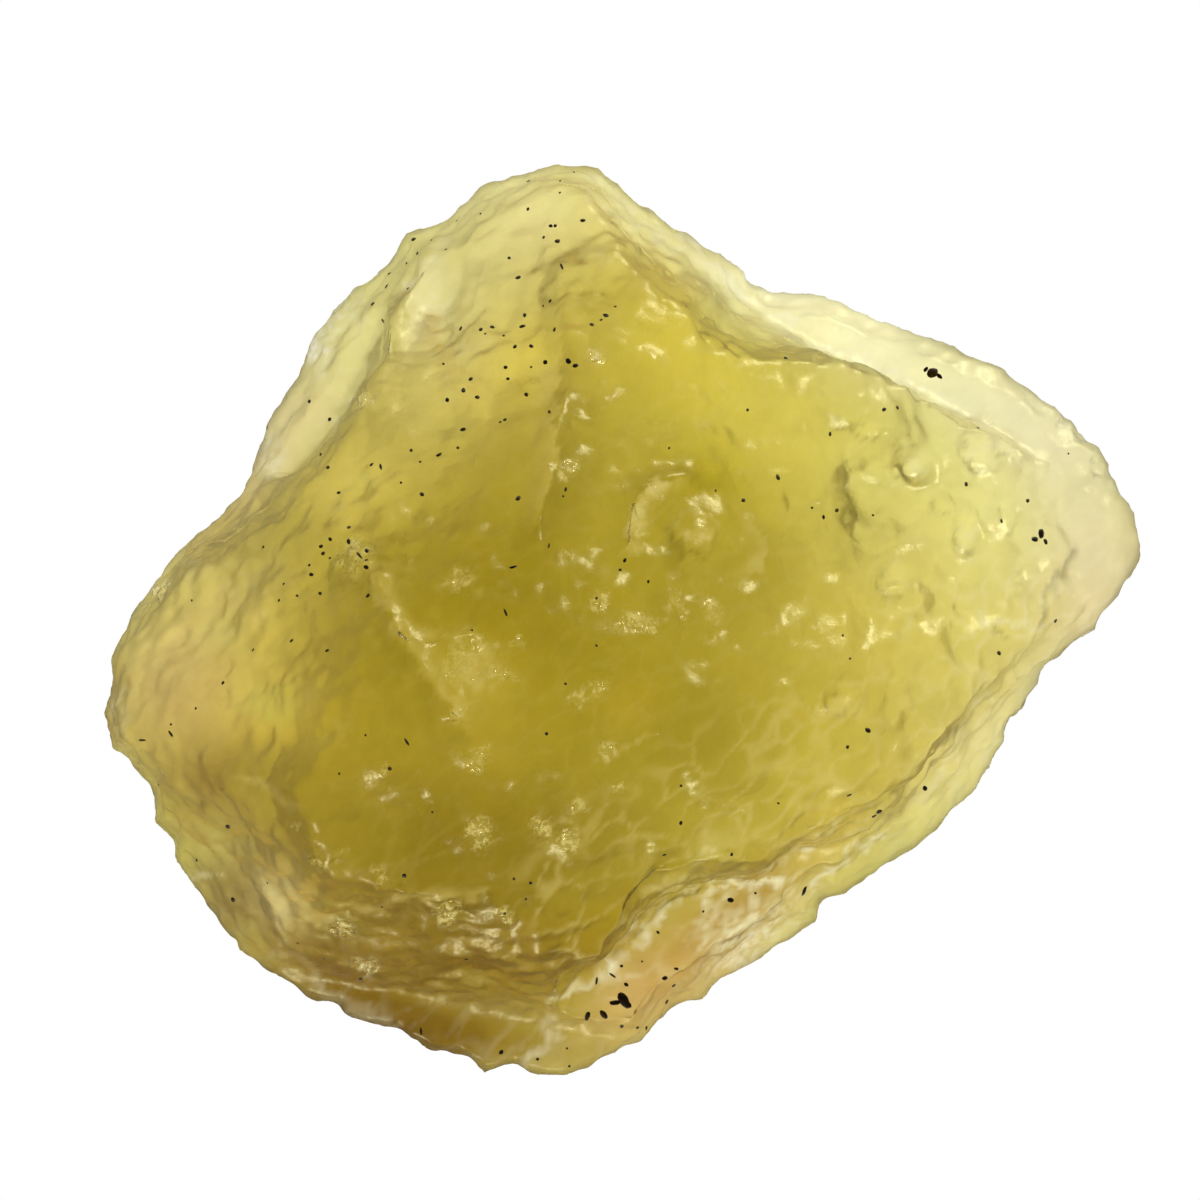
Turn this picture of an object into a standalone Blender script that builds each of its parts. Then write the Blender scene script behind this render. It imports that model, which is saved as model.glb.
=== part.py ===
"""Libyan desert glass: one lump of natural silica glass, worn by wind and sand, lying on a small flat spot.

The lump is a single solid. +X and +Y run across it as it lies, +Z points up, and the origin is the
centre of the flat spot that it rests on. Lengths are in millimetres until the mesh is written.
"""

import math

import bpy
import numpy as np
from mathutils import Vector, noise

MM = 0.001

# Driving sizes of the lump
NODE_NAME = "desert_glass"
SPHERE_SUBDIVISIONS = 7
TRIANGLES_KEPT = 9400
RIM_CROWDING = 1.4
GRAIN = 0.3
FACE_SOFTNESS = 0.45
BEVEL_SOFTNESS = 0.25
SMOOTHING_ROUNDS = 2
FLAT_SPOT_REACH = 6.5
GROUND_CUTTER_SIZE = 100.0

# The edge of the lump seen from above, counterclockwise from its right tip
OUTLINE = [
    (24.2, 3.4), (23.7, 4.9), (22.9, 6.6), (22.6, 7.6), (20.7, 9.5), (19.6, 9.9), (17.8, 11.5),
    (16.7, 12.0), (14.0, 13.0), (12.6, 13.3), (10.1, 14.4), (7.7, 14.8), (6.8, 15.2), (6.4, 15.9),
    (4.5, 16.9), (2.7, 17.9), (1.3, 18.9), (-0.1, 20.1), (-1.9, 20.5), (-3.8, 19.8), (-5.4, 19.3),
    (-7.2, 17.8), (-8.8, 17.3), (-9.5, 16.1), (-11.5, 14.6), (-12.9, 12.8), (-13.6, 10.9),
    (-15.1, 8.6), (-15.3, 7.6), (-16.2, 5.6), (-17.3, 4.5), (-18.5, 3.6), (-19.6, 2.3),
    (-20.8, 0.1), (-21.8, -1.8), (-21.7, -2.8), (-22.1, -4.1), (-21.6, -5.9), (-21.0, -6.2),
    (-19.8, -7.5), (-19.8, -9.0), (-18.9, -9.8), (-18.9, -10.7), (-17.9, -12.6), (-16.1, -15.0),
    (-14.6, -16.0), (-12.6, -17.2), (-11.6, -17.3), (-11.3, -17.7), (-8.9, -18.5), (-7.7, -19.4),
    (-5.9, -19.7), (-5.3, -20.2), (-3.7, -19.8), (-3.6, -20.1), (-1.8, -20.4), (-0.5, -19.9),
    (2.0, -18.8), (3.4, -17.4), (4.5, -17.0), (5.2, -16.1), (7.2, -15.3), (9.0, -14.2), (9.7, -13.5),
    (10.0, -12.6), (10.6, -12.6), (12.4, -11.2), (14.4, -10.1), (16.9, -7.7), (18.0, -5.9),
    (18.2, -5.0), (19.4, -3.2), (19.7, -2.4), (20.9, -1.3), (22.0, -0.6), (23.0, 0.9), (24.1, 2.7),
]

# The rim by direction in degrees: how high it stands above the faces of the underside, how blunt it is,
# and how steeply the lump rises above it
RIM = [
    (8, 1.2, 1.4, 0.9), (22, 0.9, 1.0, 0.7), (45, 0.7, 0.8, 0.6), (75, 0.9, 0.9, 0.7), (95, 1.6, 1.6, 1.2),
    (127, 1.0, 1.2, 0.9), (150, 1.0, 1.4, 0.9), (170, 2.2, 2.6, 1.4), (185, 2.6, 3.2, 1.5),
    (202, 2.8, 3.0, 1.8), (223, 2.6, 3.0, 1.8), (260, 2.6, 2.8, 1.8), (285, 1.0, 1.0, 0.9),
    (308, 0.9, 1.0, 0.9), (344, 1.2, 1.6, 1.0),
]
RIM_WAVES = [(5, 0.4, 0.40), (9, 2.1, 0.35), (17, 4.0, 0.20)]
RIM_UNDERCUT = 0.8
BEVEL_GROWTH = 0.14
LEAST_BEVEL = 0.45
LEAST_REACH = 2.5
LUMP_FALLOFF = 1.2

# Broad faces: a point on the face, the direction in which it falls, and its tilt, both in degrees
UPPER_FACES = {
    "crown": (-4.0, -2.0, 21.8, 20.0, 6.0),
    "upper_left": (-6.5, 8.0, 15.2, 115.0, 34.0),
    "upper_right": (6.8, 9.0, 12.0, 20.0, 26.0),
    "lower_right": (6.8, -4.5, 14.2, -46.0, 26.0),
    "bottom": (-8.5, -12.6, 15.6, -98.0, 62.0),
    "lower_left": (-13.2, -11.5, 15.0, -140.0, 61.0),
    "left_lobe": (-18.0, -1.4, 15.0, 175.0, 34.0),
    "left_side": (-12.0, 9.9, 11.6, 150.0, 46.0),
}
LOWER_FACES = {
    "base": (0.0, 0.0, -1.2, 0.0, 0.0),
    "near_right": (4.0, 1.5, -0.6, 190.0, 7.0),
    "near_top": (-1.0, 4.5, -0.5, 265.0, 9.0),
    "near_upper_left": (-6.0, 3.0, -0.6, 325.0, 8.0),
    "near_lower_left": (-6.5, -4.0, -0.6, 40.0, 9.0),
    "near_bottom": (0.5, -5.5, -0.5, 100.0, 8.0),
    "far_right": (14.0, 2.0, 1.2, 185.0, 11.0),
    "far_upper_right": (8.5, 8.0, 1.2, 222.0, 14.0),
    "far_top": (-2.0, 12.5, 1.2, 275.0, 16.0),
    "far_upper_left": (-9.5, 8.0, 1.2, 312.0, 16.0),
    "far_left": (-14.0, -1.0, 1.3, 5.0, 17.0),
    "far_lower_left": (-10.5, -10.0, 1.4, 48.0, 25.0),
    "far_bottom": (-4.0, -12.5, 1.3, 85.0, 21.0),
    "far_lower_right": (9.5, -7.5, 1.2, 140.0, 13.0),
}

# Ledges: the crest with the body on its left, the glass left below the crest, and the riser's steepness
LEDGES = {
    "upper_right": (
        [(24.0, 5.0), (17.1, 8.6), (14.9, 10.0), (11.8, 11.4), (8.6, 12.5), (6.3, 14.4), (4.1, 16.1),
         (1.6, 17.8), (-2.5, 21.5)],
        2.6, 3.8,
    ),
    "left": (
        [(-6.5, 21.0), (-9.2, 16.6), (-9.8, 13.4), (-10.6, 11.2), (-12.0, 8.6), (-13.8, 6.8), (-17.5, 6.2)],
        4.4, 2.8,
    ),
    "lower_right": (
        [(-4.5, -21.5), (-2.1, -18.2), (-1.1, -16.0), (0.5, -15.4), (1.8, -13.9), (2.9, -12.6),
         (4.5, -11.7), (6.5, -11.6), (9.0, -10.4), (11.5, -9.6), (14.0, -12.0)],
        5.6, 3.2,
    ),
}

# Narrow ridges of the upper side: the line, half the width and the height
RIDGES = {
    "spine": ([(-1.8, 15.3), (-1.4, 10.8), (-1.9, 8.1), (-2.4, 5.0), (-2.5, 2.7)], 1.0, 0.6),
    "hollow_edge": ([(-9.6, 1.8), (-8.4, -0.5), (-7.2, -2.0), (-6.0, -4.0)], 0.7, 0.6),
    "hollow_fork": ([(-8.4, -0.5), (-7.0, -0.9), (-5.4, -0.5)], 0.6, 0.5),
    "crescent": ([(1.3, 3.3), (1.4, 4.7), (2.0, 5.8), (3.6, 6.1)], 0.6, 0.6),
    "low_ridge": ([(-12.0, -12.8), (-10.0, -12.3), (-8.8, -12.1), (-6.9, -11.7), (-4.8, -11.6)], 0.8, 0.6),
}

# Lumps (positive) and hollows (negative) of the upper side: centre, length, width, turn in degrees, height
UPPER_LUMPS = [
    (4.0, 3.6, 2.4, 2.2, 0.0, 0.7),
    (2.6, -0.2, 3.6, 2.4, 40.0, 0.5),
    (5.0, 1.0, 2.2, 1.8, 0.0, 0.4),
    (-6.2, -1.6, 5.6, 4.2, -50.0, -1.3),
    (-14.8, 0.9, 4.2, 3.0, 45.0, 0.6),
    (-18.9, -4.1, 4.0, 3.4, 20.0, 0.5),
    (-13.5, -5.0, 4.4, 3.0, 15.0, -0.6),
    (-9.5, -8.5, 6.0, 3.2, 10.0, -0.5),
    (13.5, 6.6, 2.0, 1.8, 0.0, -0.5),
    (15.9, 3.7, 1.4, 2.2, 0.0, -0.5),
    (17.0, 4.4, 1.2, 1.5, 0.0, -0.4),
    (16.6, 7.3, 1.8, 1.4, 0.0, -0.4),
    (20.5, 8.3, 1.6, 1.4, 0.0, -0.5),
    (-3.0, 13.0, 4.0, 6.0, 15.0, -0.5),
    (-7.2, 13.8, 3.4, 5.2, -10.0, -2.0),
]
LOWER_LUMPS = [
    (12.0, 6.0, 6.0, 4.0, 30.0, 0.6),
    (13.0, -5.0, 5.0, 4.0, -30.0, 0.5),
    (-14.0, 3.0, 5.0, 4.0, 60.0, 0.5),
    (-12.5, -8.0, 5.0, 3.5, 20.0, 0.6),
    (0.5, 14.0, 5.0, 3.5, 0.0, 0.5),
    (2.5, -13.0, 5.0, 3.0, 20.0, 0.5),
]

# Worn relief: size of a scoop, how much longer than wide it is, and its depth
DIMPLES = (5.2, 1.2, 0.34)
SCALLOPS = (1.9, 1.7, 0.30)
SCALLOP_TURN = 38.0
SCALLOP_FIELD = ((1.0, -12.5), (21.0, 1.0), 6.0)
SCALLOPS_ELSEWHERE = 0.25
SCOOP_RADIUS = 0.75
UNEVENNESS = [(6.0, 0.35), (1.3, 0.16)]

GLASS_COLOUR = (0.86, 0.80, 0.42, 1.0)
GLASS_ROUGHNESS = 0.35
GLASS_IOR = 1.46
GLASS_ABSORPTION = (0.86, 0.80, 0.36, 1.0)
GLASS_DENSITY = 180.0


def smooth_step(value):
    """0 below 0, 1 above 1, and a smooth rise between."""
    share = np.clip(value, 0.0, 1.0)
    return share * share * (3.0 - 2.0 * share)


def soft_lowest(heights, softness):
    """The lowest of several heights, with the creases between them rounded."""
    stack = np.array(heights)
    lowest = stack.min(axis=0)
    return lowest - softness * np.log(np.exp((lowest - stack) / softness).sum(axis=0))


def soft_highest(heights, softness):
    """The highest of several heights, with the creases between them rounded."""
    return -soft_lowest([-height for height in heights], softness)


def face_height(face, x, y):
    """Height over (x, y) of one broad face."""
    at_x, at_y, at_z, falls_to, tilt = face
    way = math.radians(falls_to)
    along = (x - at_x) * math.cos(way) + (y - at_y) * math.sin(way)
    return at_z - math.tan(math.radians(tilt)) * along


def line_distance(points, x, y):
    """Distance to a line of straight stretches, positive on its left."""
    nearest = np.full(x.shape, np.inf)
    side = np.ones(x.shape)
    for (x0, y0), (x1, y1) in zip(points[:-1], points[1:]):
        run_x, run_y = x1 - x0, y1 - y0
        along = ((x - x0) * run_x + (y - y0) * run_y) / (run_x**2 + run_y**2)
        share = np.clip(along, 0.0, 1.0)
        away = np.hypot(x - x0 - share * run_x, y - y0 - share * run_y)
        closer = away < nearest
        nearest = np.where(closer, away, nearest)
        side = np.where(closer, np.sign(run_x * (y - y0) - run_y * (x - x0)), side)
    return nearest * side


def edge_distance(x, y):
    """Distance inward from the edge of the lump."""
    return np.maximum(line_distance(OUTLINE + OUTLINE[:1], x, y), 0.0)


def edge_radius(angle):
    """Distance from the origin to the edge in each direction."""
    corners = np.array(OUTLINE)
    angles = np.arctan2(corners[:, 1], corners[:, 0])
    order = np.argsort(angles)
    radii = np.hypot(corners[:, 0], corners[:, 1])
    return np.interp(angle, angles[order], radii[order], period=2.0 * math.pi)


def rim_at(angle):
    """Lift of the rim above the underside's faces, its bluntness and the steepness above it, by direction."""
    table = np.array(RIM)
    ways = np.radians(table[:, 0])
    lift, bluntness, steepness = [
        np.interp(angle, ways, column, period=2.0 * math.pi) for column in table[:, 1:].T
    ]
    for count, phase, reach in RIM_WAVES:
        lift = lift + reach * np.sin(count * angle + phase)
    return lift, bluntness, steepness


def lump_height(lumps, x, y):
    """Sum of the rounded lumps and hollows over (x, y)."""
    total = np.zeros(x.shape)
    for at_x, at_y, length, width, turn, height in lumps:
        way = math.radians(turn)
        along = (x - at_x) * math.cos(way) + (y - at_y) * math.sin(way)
        across = (y - at_y) * math.cos(way) - (x - at_x) * math.sin(way)
        reach = (2.0 * along / length) ** 2 + (2.0 * across / width) ** 2
        total += height * np.exp(-LUMP_FALLOFF * reach)
    return total


def ridge_height(x, y):
    """Sum of the narrow ridges over (x, y)."""
    total = np.zeros(x.shape)
    for line, half_width, height in RIDGES.values():
        away = np.abs(line_distance(line, x, y))
        total += height * np.maximum(1.0 - away / half_width, 0.0)
    return total


def bevel(inward, bluntness, steepness):
    """Rise from the rim: upright and rounded at the rim itself, then a slope that steepens inward."""
    return steepness * np.sqrt(inward**2 + 2.0 * bluntness * inward) + BEVEL_GROWTH * inward**2


def under_faces(x, y):
    """Height of the faces of the underside."""
    return soft_highest([face_height(face, x, y) for face in LOWER_FACES.values()], FACE_SOFTNESS)


def rim_height(angle):
    """Height of the rim itself in each direction."""
    radius = edge_radius(angle)
    return rim_at(angle)[0] + under_faces(radius * np.cos(angle), radius * np.sin(angle))


def lower_height(x, y):
    """Height of the underside, before its relief."""
    angle = np.arctan2(y, x)
    fall = bevel(edge_distance(x, y), rim_at(angle)[1], RIM_UNDERCUT)
    carved = under_faces(x, y) + lump_height(LOWER_LUMPS, x, y)
    rim = rim_height(angle)
    most = rim - LEAST_BEVEL * np.minimum(fall, LEAST_REACH)
    return np.minimum(soft_highest([carved, rim - fall], BEVEL_SOFTNESS), most)


def upper_height(x, y):
    """Height of the upper side, before its relief."""
    angle = np.arctan2(y, x)
    _, bluntness, steepness = rim_at(angle)
    rise = bevel(edge_distance(x, y), bluntness, steepness)
    faces = soft_lowest([face_height(face, x, y) for face in UPPER_FACES.values()], FACE_SOFTNESS)
    height = faces + lump_height(UPPER_LUMPS, x, y) + ridge_height(x, y)
    underside = lower_height(x, y)
    for crest, glass_left, riser in LEDGES.values():
        behind = np.maximum(line_distance(crest, x, y), 0.0)
        height = soft_lowest([height, underside + glass_left + riser * behind], BEVEL_SOFTNESS)
    rim = rim_height(angle)
    least = rim + LEAST_BEVEL * np.minimum(rise, LEAST_REACH)
    return np.maximum(soft_lowest([height, rim + rise], BEVEL_SOFTNESS), least)


def glass_points(directions):
    """Moves a unit sphere's points onto the lump: its upper half to the upper side, the rest below."""
    angle = np.arctan2(directions[:, 1], directions[:, 0])
    upright = np.clip(np.abs(directions[:, 2]), 0.0, 1.0)
    outward = np.arccos(upright) / (math.pi / 2.0)
    radius = edge_radius(angle) * (1.0 - (1.0 - outward) ** RIM_CROWDING)
    x = radius * np.cos(angle)
    y = radius * np.sin(angle)
    height = np.where(directions[:, 2] >= 0.0, upper_height(x, y), lower_height(x, y))
    return np.column_stack([x, y, height])


def scoop_depth(point, size, stretch, depth, turn):
    """Depth of a field of touching scoops at one point: deepest in each middle, with sharp crests between."""
    way = math.radians(turn)
    along = (point.x * math.cos(way) + point.y * math.sin(way)) / (size * stretch)
    across = (point.y * math.cos(way) - point.x * math.sin(way)) / size
    nearest = noise.voronoi(Vector((along, across, point.z / size)))[0][0]
    return depth * (1.0 - min(nearest / SCOOP_RADIUS, 1.0) ** 2)


def field_share(x, y):
    """How far a point is inside the scalloped field of the lower right: 1 along its middle, 0 outside."""
    start, end, reach = SCALLOP_FIELD
    away = np.abs(line_distance([start, end], x, y))
    return 1.0 - smooth_step((away - 0.5 * reach) / (0.5 * reach))


def relief(points, upward):
    """How far wind and sand have carved each point inward."""
    field = field_share(points[:, 0], points[:, 1])
    from_spot = np.hypot(points[:, 0], points[:, 1]) / FLAT_SPOT_REACH
    clear = np.where(upward > 0.0, 1.0, smooth_step(2.0 * from_spot - 1.4))
    carved = np.empty(len(points))
    for index, place in enumerate(points):
        point = Vector(place)
        scallop_share = max(SCALLOPS_ELSEWHERE, field[index] * (upward[index] > 0.0))
        dimple = scoop_depth(point, *DIMPLES, 0.0)
        scallop = scallop_share * scoop_depth(point, *SCALLOPS, SCALLOP_TURN)
        uneven = sum(depth * noise.fractal(point / size, 0.9, 2.0, 3) for size, depth in UNEVENNESS)
        carved[index] = clear[index] * (dimple + scallop + uneven)
    return carved


def glass_material():
    """Clear yellow-green glass with a worn surface."""
    material = bpy.data.materials.new("desert_glass")
    material.use_nodes = True
    nodes = material.node_tree.nodes
    surface = nodes["Principled BSDF"]
    surface.inputs["Base Color"].default_value = GLASS_COLOUR
    surface.inputs["Metallic"].default_value = 0.0
    surface.inputs["Roughness"].default_value = GLASS_ROUGHNESS
    surface.inputs["IOR"].default_value = GLASS_IOR
    surface.inputs["Transmission Weight"].default_value = 1.0
    volume = nodes.new("ShaderNodeVolumeAbsorption")
    volume.inputs["Color"].default_value = GLASS_ABSORPTION
    volume.inputs["Density"].default_value = GLASS_DENSITY
    output = nodes["Material Output"]
    material.node_tree.links.new(volume.outputs["Volume"], output.inputs["Volume"])
    return material


def clear_scene():
    """Removes every object that the file starts with."""
    for leftover in list(bpy.data.objects):
        bpy.data.objects.remove(leftover, do_unlink=True)


def mesh_array(items, name, width):
    """One property of all of a mesh's items, as a numpy array."""
    values = np.empty(len(items) * width, np.float32)
    items.foreach_get(name, values)
    return values.reshape(-1, width).astype(np.float64)


def plain_glass():
    """The lump with its faces, ledges and ridges but none of its fine relief, in millimetres."""
    bpy.ops.mesh.primitive_ico_sphere_add(subdivisions=SPHERE_SUBDIVISIONS, radius=1.0)
    glass = bpy.context.object
    glass.name = NODE_NAME
    mesh = glass.data
    points = glass_points(mesh_array(mesh.vertices, "co", 3))
    mesh.vertices.foreach_set("co", points.ravel())
    evened = glass.modifiers.new("evened", "REMESH")
    evened.mode = "VOXEL"
    evened.voxel_size = GRAIN
    smoothed = glass.modifiers.new("smoothed", "SMOOTH")
    smoothed.factor = 0.5
    smoothed.iterations = SMOOTHING_ROUNDS
    for modifier in list(glass.modifiers):
        bpy.ops.object.modifier_apply(modifier=modifier.name)
    return glass


def carved_glass():
    """The lump at its full relief and in metres, before the flat spot is worn onto it."""
    glass = plain_glass()
    mesh = glass.data
    points = mesh_array(mesh.vertices, "co", 3)
    normals = mesh_array(mesh.vertex_normals, "vector", 3)
    points -= normals * relief(points, normals[:, 2])[:, None]
    mesh.vertices.foreach_set("co", (points * MM).ravel())
    mesh.update()
    return glass


def add_modifiers(glass):
    """Thins out the triangles, then wears the flat spot into the underside."""
    triangles = sum(len(polygon.vertices) - 2 for polygon in glass.data.polygons)
    thinned = glass.modifiers.new("thinned", "DECIMATE")
    thinned.ratio = TRIANGLES_KEPT / triangles
    size = GROUND_CUTTER_SIZE * MM
    bpy.ops.mesh.primitive_cube_add(size=size, location=(0.0, 0.0, -size / 2.0))
    ground = bpy.context.object
    ground.name = "ground_cutter"
    ground.hide_render = True
    ground.display_type = "WIRE"
    worn = glass.modifiers.new("flat_spot", "BOOLEAN")
    worn.operation = "DIFFERENCE"
    worn.solver = "EXACT"
    worn.object = ground


def main():
    clear_scene()
    glass = carved_glass()
    add_modifiers(glass)
    glass.data.shade_smooth()
    glass.data.materials.append(glass_material())


main()
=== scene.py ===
import math
import random

import bpy
import numpy as np
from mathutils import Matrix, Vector, noise


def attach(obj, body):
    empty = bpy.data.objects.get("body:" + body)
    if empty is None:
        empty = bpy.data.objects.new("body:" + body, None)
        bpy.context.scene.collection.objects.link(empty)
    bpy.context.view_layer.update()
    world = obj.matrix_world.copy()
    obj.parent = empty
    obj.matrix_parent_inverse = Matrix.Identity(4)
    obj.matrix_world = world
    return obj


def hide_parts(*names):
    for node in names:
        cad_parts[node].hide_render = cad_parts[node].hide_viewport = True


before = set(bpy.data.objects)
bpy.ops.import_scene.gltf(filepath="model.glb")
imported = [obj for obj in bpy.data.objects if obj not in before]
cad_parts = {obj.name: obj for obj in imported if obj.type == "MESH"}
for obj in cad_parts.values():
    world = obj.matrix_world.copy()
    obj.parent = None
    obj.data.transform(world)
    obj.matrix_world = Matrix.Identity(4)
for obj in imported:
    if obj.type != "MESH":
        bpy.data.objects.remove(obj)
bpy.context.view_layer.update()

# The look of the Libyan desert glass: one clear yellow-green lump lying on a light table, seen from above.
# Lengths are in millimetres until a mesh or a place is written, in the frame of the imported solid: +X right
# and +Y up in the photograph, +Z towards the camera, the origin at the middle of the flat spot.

MM = 0.001
NODE_NAME = "desert_glass"

# The mesh: how finely its sphere is divided, how its points crowd at the rim, how far apart they are once
# evened, and how strongly and how often they are smoothed
SPHERE_SUBDIVISIONS = 8
RIM_CROWDING = 1.4
POINT_SPACING = 0.224
SMOOTHING = (0.5, 3)

# How softly faces and bevels meet, and how quickly a rounded lump falls off
FACE_SOFTNESS = 0.45
BEVEL_SOFTNESS = 0.25
LUMP_FALLOFF = 1.2

# The bevels at the rim: the steepness of the lower one, how both steepen inward, and the share of a bevel
# that is always kept, up to what rise
RIM_UNDERCUT = 0.8
BEVEL_GROWTH = 0.45
LEAST_BEVEL = 0.45
LEAST_REACH = 2.5

# How far the flat spot is free of relief, and over what distance the relief then begins
FLAT_SPOT_REACH = 4.55
FLAT_SPOT_FADE = 3.25

# The edge of the lump seen from above, counterclockwise from its right tip
OUTLINE = [
    (24.2, 3.4), (23.7, 4.9), (22.7, 6.5), (22.4, 7.4), (20.5, 9.3), (19.6, 9.9), (17.6, 11.3),
    (16.5, 11.7), (14.0, 13.0), (12.8, 13.5), (10.2, 14.6), (7.7, 14.8), (6.8, 15.2), (6.4, 15.9),
    (4.5, 16.9), (2.7, 17.9), (1.3, 18.9), (-0.1, 20.1), (-1.9, 20.3), (-3.8, 19.8), (-5.4, 19.3),
    (-7.2, 17.8), (-8.8, 17.3), (-9.5, 16.1), (-11.5, 14.6), (-12.9, 12.8), (-13.6, 10.9),
    (-15.1, 8.6), (-15.3, 7.6), (-16.2, 5.6), (-17.3, 4.5), (-18.5, 3.6), (-19.6, 2.3),
    (-20.8, 0.1), (-21.8, -1.8), (-21.7, -2.8), (-22.1, -4.1), (-21.6, -5.9), (-21.0, -6.2),
    (-19.8, -7.5), (-19.8, -9.0), (-18.9, -9.8), (-18.9, -10.7), (-17.6, -12.4), (-15.9, -14.7),
    (-14.5, -15.6), (-12.6, -16.8), (-11.6, -16.9), (-11.2, -17.4), (-8.9, -18.2), (-7.7, -19.0),
    (-5.9, -19.4), (-5.3, -20.2), (-3.7, -19.8), (-3.6, -20.1), (-1.8, -20.4), (-0.5, -19.9),
    (2.0, -18.8), (3.4, -17.4), (4.7, -17.2), (5.5, -16.3), (7.2, -15.3), (9.0, -14.2), (9.9, -13.6),
    (10.0, -12.6), (10.6, -12.6), (12.5, -11.3), (14.4, -10.1), (16.9, -7.7), (18.0, -5.9),
    (18.2, -5.0), (19.4, -3.2), (19.7, -2.4), (20.9, -1.3), (22.0, -0.6), (23.0, 0.9), (24.1, 2.7),
]

# The rim by direction in degrees: how high it stands above the faces of the underside, how blunt it is,
# and how steeply the lump rises above it
RIM = [
    (8, 1.2, 1.4, 0.9), (22, 0.9, 1.0, 0.7), (45, 0.7, 0.8, 0.6), (75, 0.9, 0.9, 0.7), (95, 1.6, 1.6, 1.2),
    (127, 1.0, 1.2, 0.9), (150, 1.0, 1.4, 0.9), (170, 2.2, 2.6, 1.4), (185, 2.6, 3.2, 1.5),
    (202, 2.8, 3.0, 1.8), (223, 2.6, 3.0, 1.8), (260, 2.6, 2.8, 1.8), (285, 1.0, 1.0, 0.9),
    (308, 0.9, 1.0, 0.9), (344, 1.2, 1.6, 1.0),
]
RIM_WAVES = [(5, 0.4, 0.40), (9, 2.1, 0.35), (17, 4.0, 0.20)]

# Broad faces: a point on the face, the direction in which it falls, and its tilt, both in degrees
UPPER_FACES = {
    "crown": (-4.0, -2.0, 21.8, 20.0, 6.0),
    "upper_left": (-6.5, 8.0, 14.2, 115.0, 34.0),
    "upper_right": (6.8, 9.0, 12.0, 20.0, 26.0),
    "lower_right": (6.8, -4.5, 14.2, -46.0, 26.0),
    "bottom": (-8.5, -12.6, 15.6, -98.0, 62.0),
    "lower_left": (-13.2, -11.5, 15.0, -140.0, 61.0),
    "left_lobe": (-18.0, -1.4, 15.0, 175.0, 34.0),
    "left_side": (-12.0, 9.9, 11.6, 150.0, 46.0),
}
LOWER_FACES = {
    "base": (0.0, 0.0, -1.2, 0.0, 0.0),
    "near_right": (4.0, 1.5, -0.6, 190.0, 7.0),
    "near_top": (-1.0, 4.5, -0.5, 265.0, 9.0),
    "near_upper_left": (-6.0, 3.0, -0.6, 325.0, 8.0),
    "near_lower_left": (-6.5, -4.0, -0.6, 40.0, 9.0),
    "near_bottom": (0.5, -5.5, -0.5, 100.0, 8.0),
    "far_right": (14.0, 2.0, 1.2, 185.0, 11.0),
    "far_upper_right": (8.5, 8.0, 1.2, 222.0, 14.0),
    "far_top": (-2.0, 12.5, 1.2, 275.0, 16.0),
    "far_upper_left": (-9.5, 8.0, 1.2, 312.0, 16.0),
    "far_left": (-14.0, -1.0, 1.3, 5.0, 17.0),
    "far_lower_left": (-10.5, -10.0, 1.4, 48.0, 25.0),
    "far_bottom": (-4.0, -12.5, 1.3, 85.0, 21.0),
    "far_lower_right": (9.5, -7.5, 1.2, 140.0, 13.0),
}

# Ledges: the crest with the body on its left, the glass left below the crest, and the riser's steepness
LEDGES = {
    "upper_right": (
        [(24.0, 5.0), (17.1, 8.6), (14.9, 10.0), (11.8, 11.4), (8.6, 12.5), (6.3, 14.4), (4.1, 16.1),
         (1.6, 17.8), (-2.5, 21.5)],
        2.8, 7.0,
    ),
    "left": (
        [(-6.5, 21.0), (-9.2, 16.6), (-9.8, 13.4), (-10.6, 11.2), (-12.0, 8.6), (-13.8, 6.8), (-17.5, 6.2)],
        4.4, 6.0,
    ),
    "lower_right": (
        [(-4.5, -21.5), (-2.1, -18.2), (-1.1, -16.0), (0.5, -15.4), (1.8, -13.9), (2.9, -12.6),
         (4.5, -11.7), (6.5, -11.6), (9.0, -10.4), (11.5, -9.6), (14.0, -12.0)],
        5.4, 6.0,
    ),
}

# Narrow ridges of the upper side: the line, half the width and the height
RIDGES = {
    "spine": ([(-1.8, 15.3), (-1.4, 10.8), (-1.9, 8.1), (-2.4, 5.0), (-2.5, 2.7)], 1.0, 0.6),
    "hollow_edge": ([(-9.6, 1.8), (-8.4, -0.5), (-7.2, -2.0), (-6.0, -4.0)], 0.7, 0.6),
    "hollow_fork": ([(-8.4, -0.5), (-7.0, -0.9), (-5.4, -0.5)], 0.6, 0.5),
    "crescent": ([(1.3, 3.3), (1.4, 4.7), (2.0, 5.8), (3.6, 6.1)], 0.6, 0.6),
    "low_ridge": ([(-12.0, -12.8), (-10.0, -12.3), (-8.8, -12.1), (-6.9, -11.7), (-4.8, -11.6)], 1.3, 0.35),
}

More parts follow.
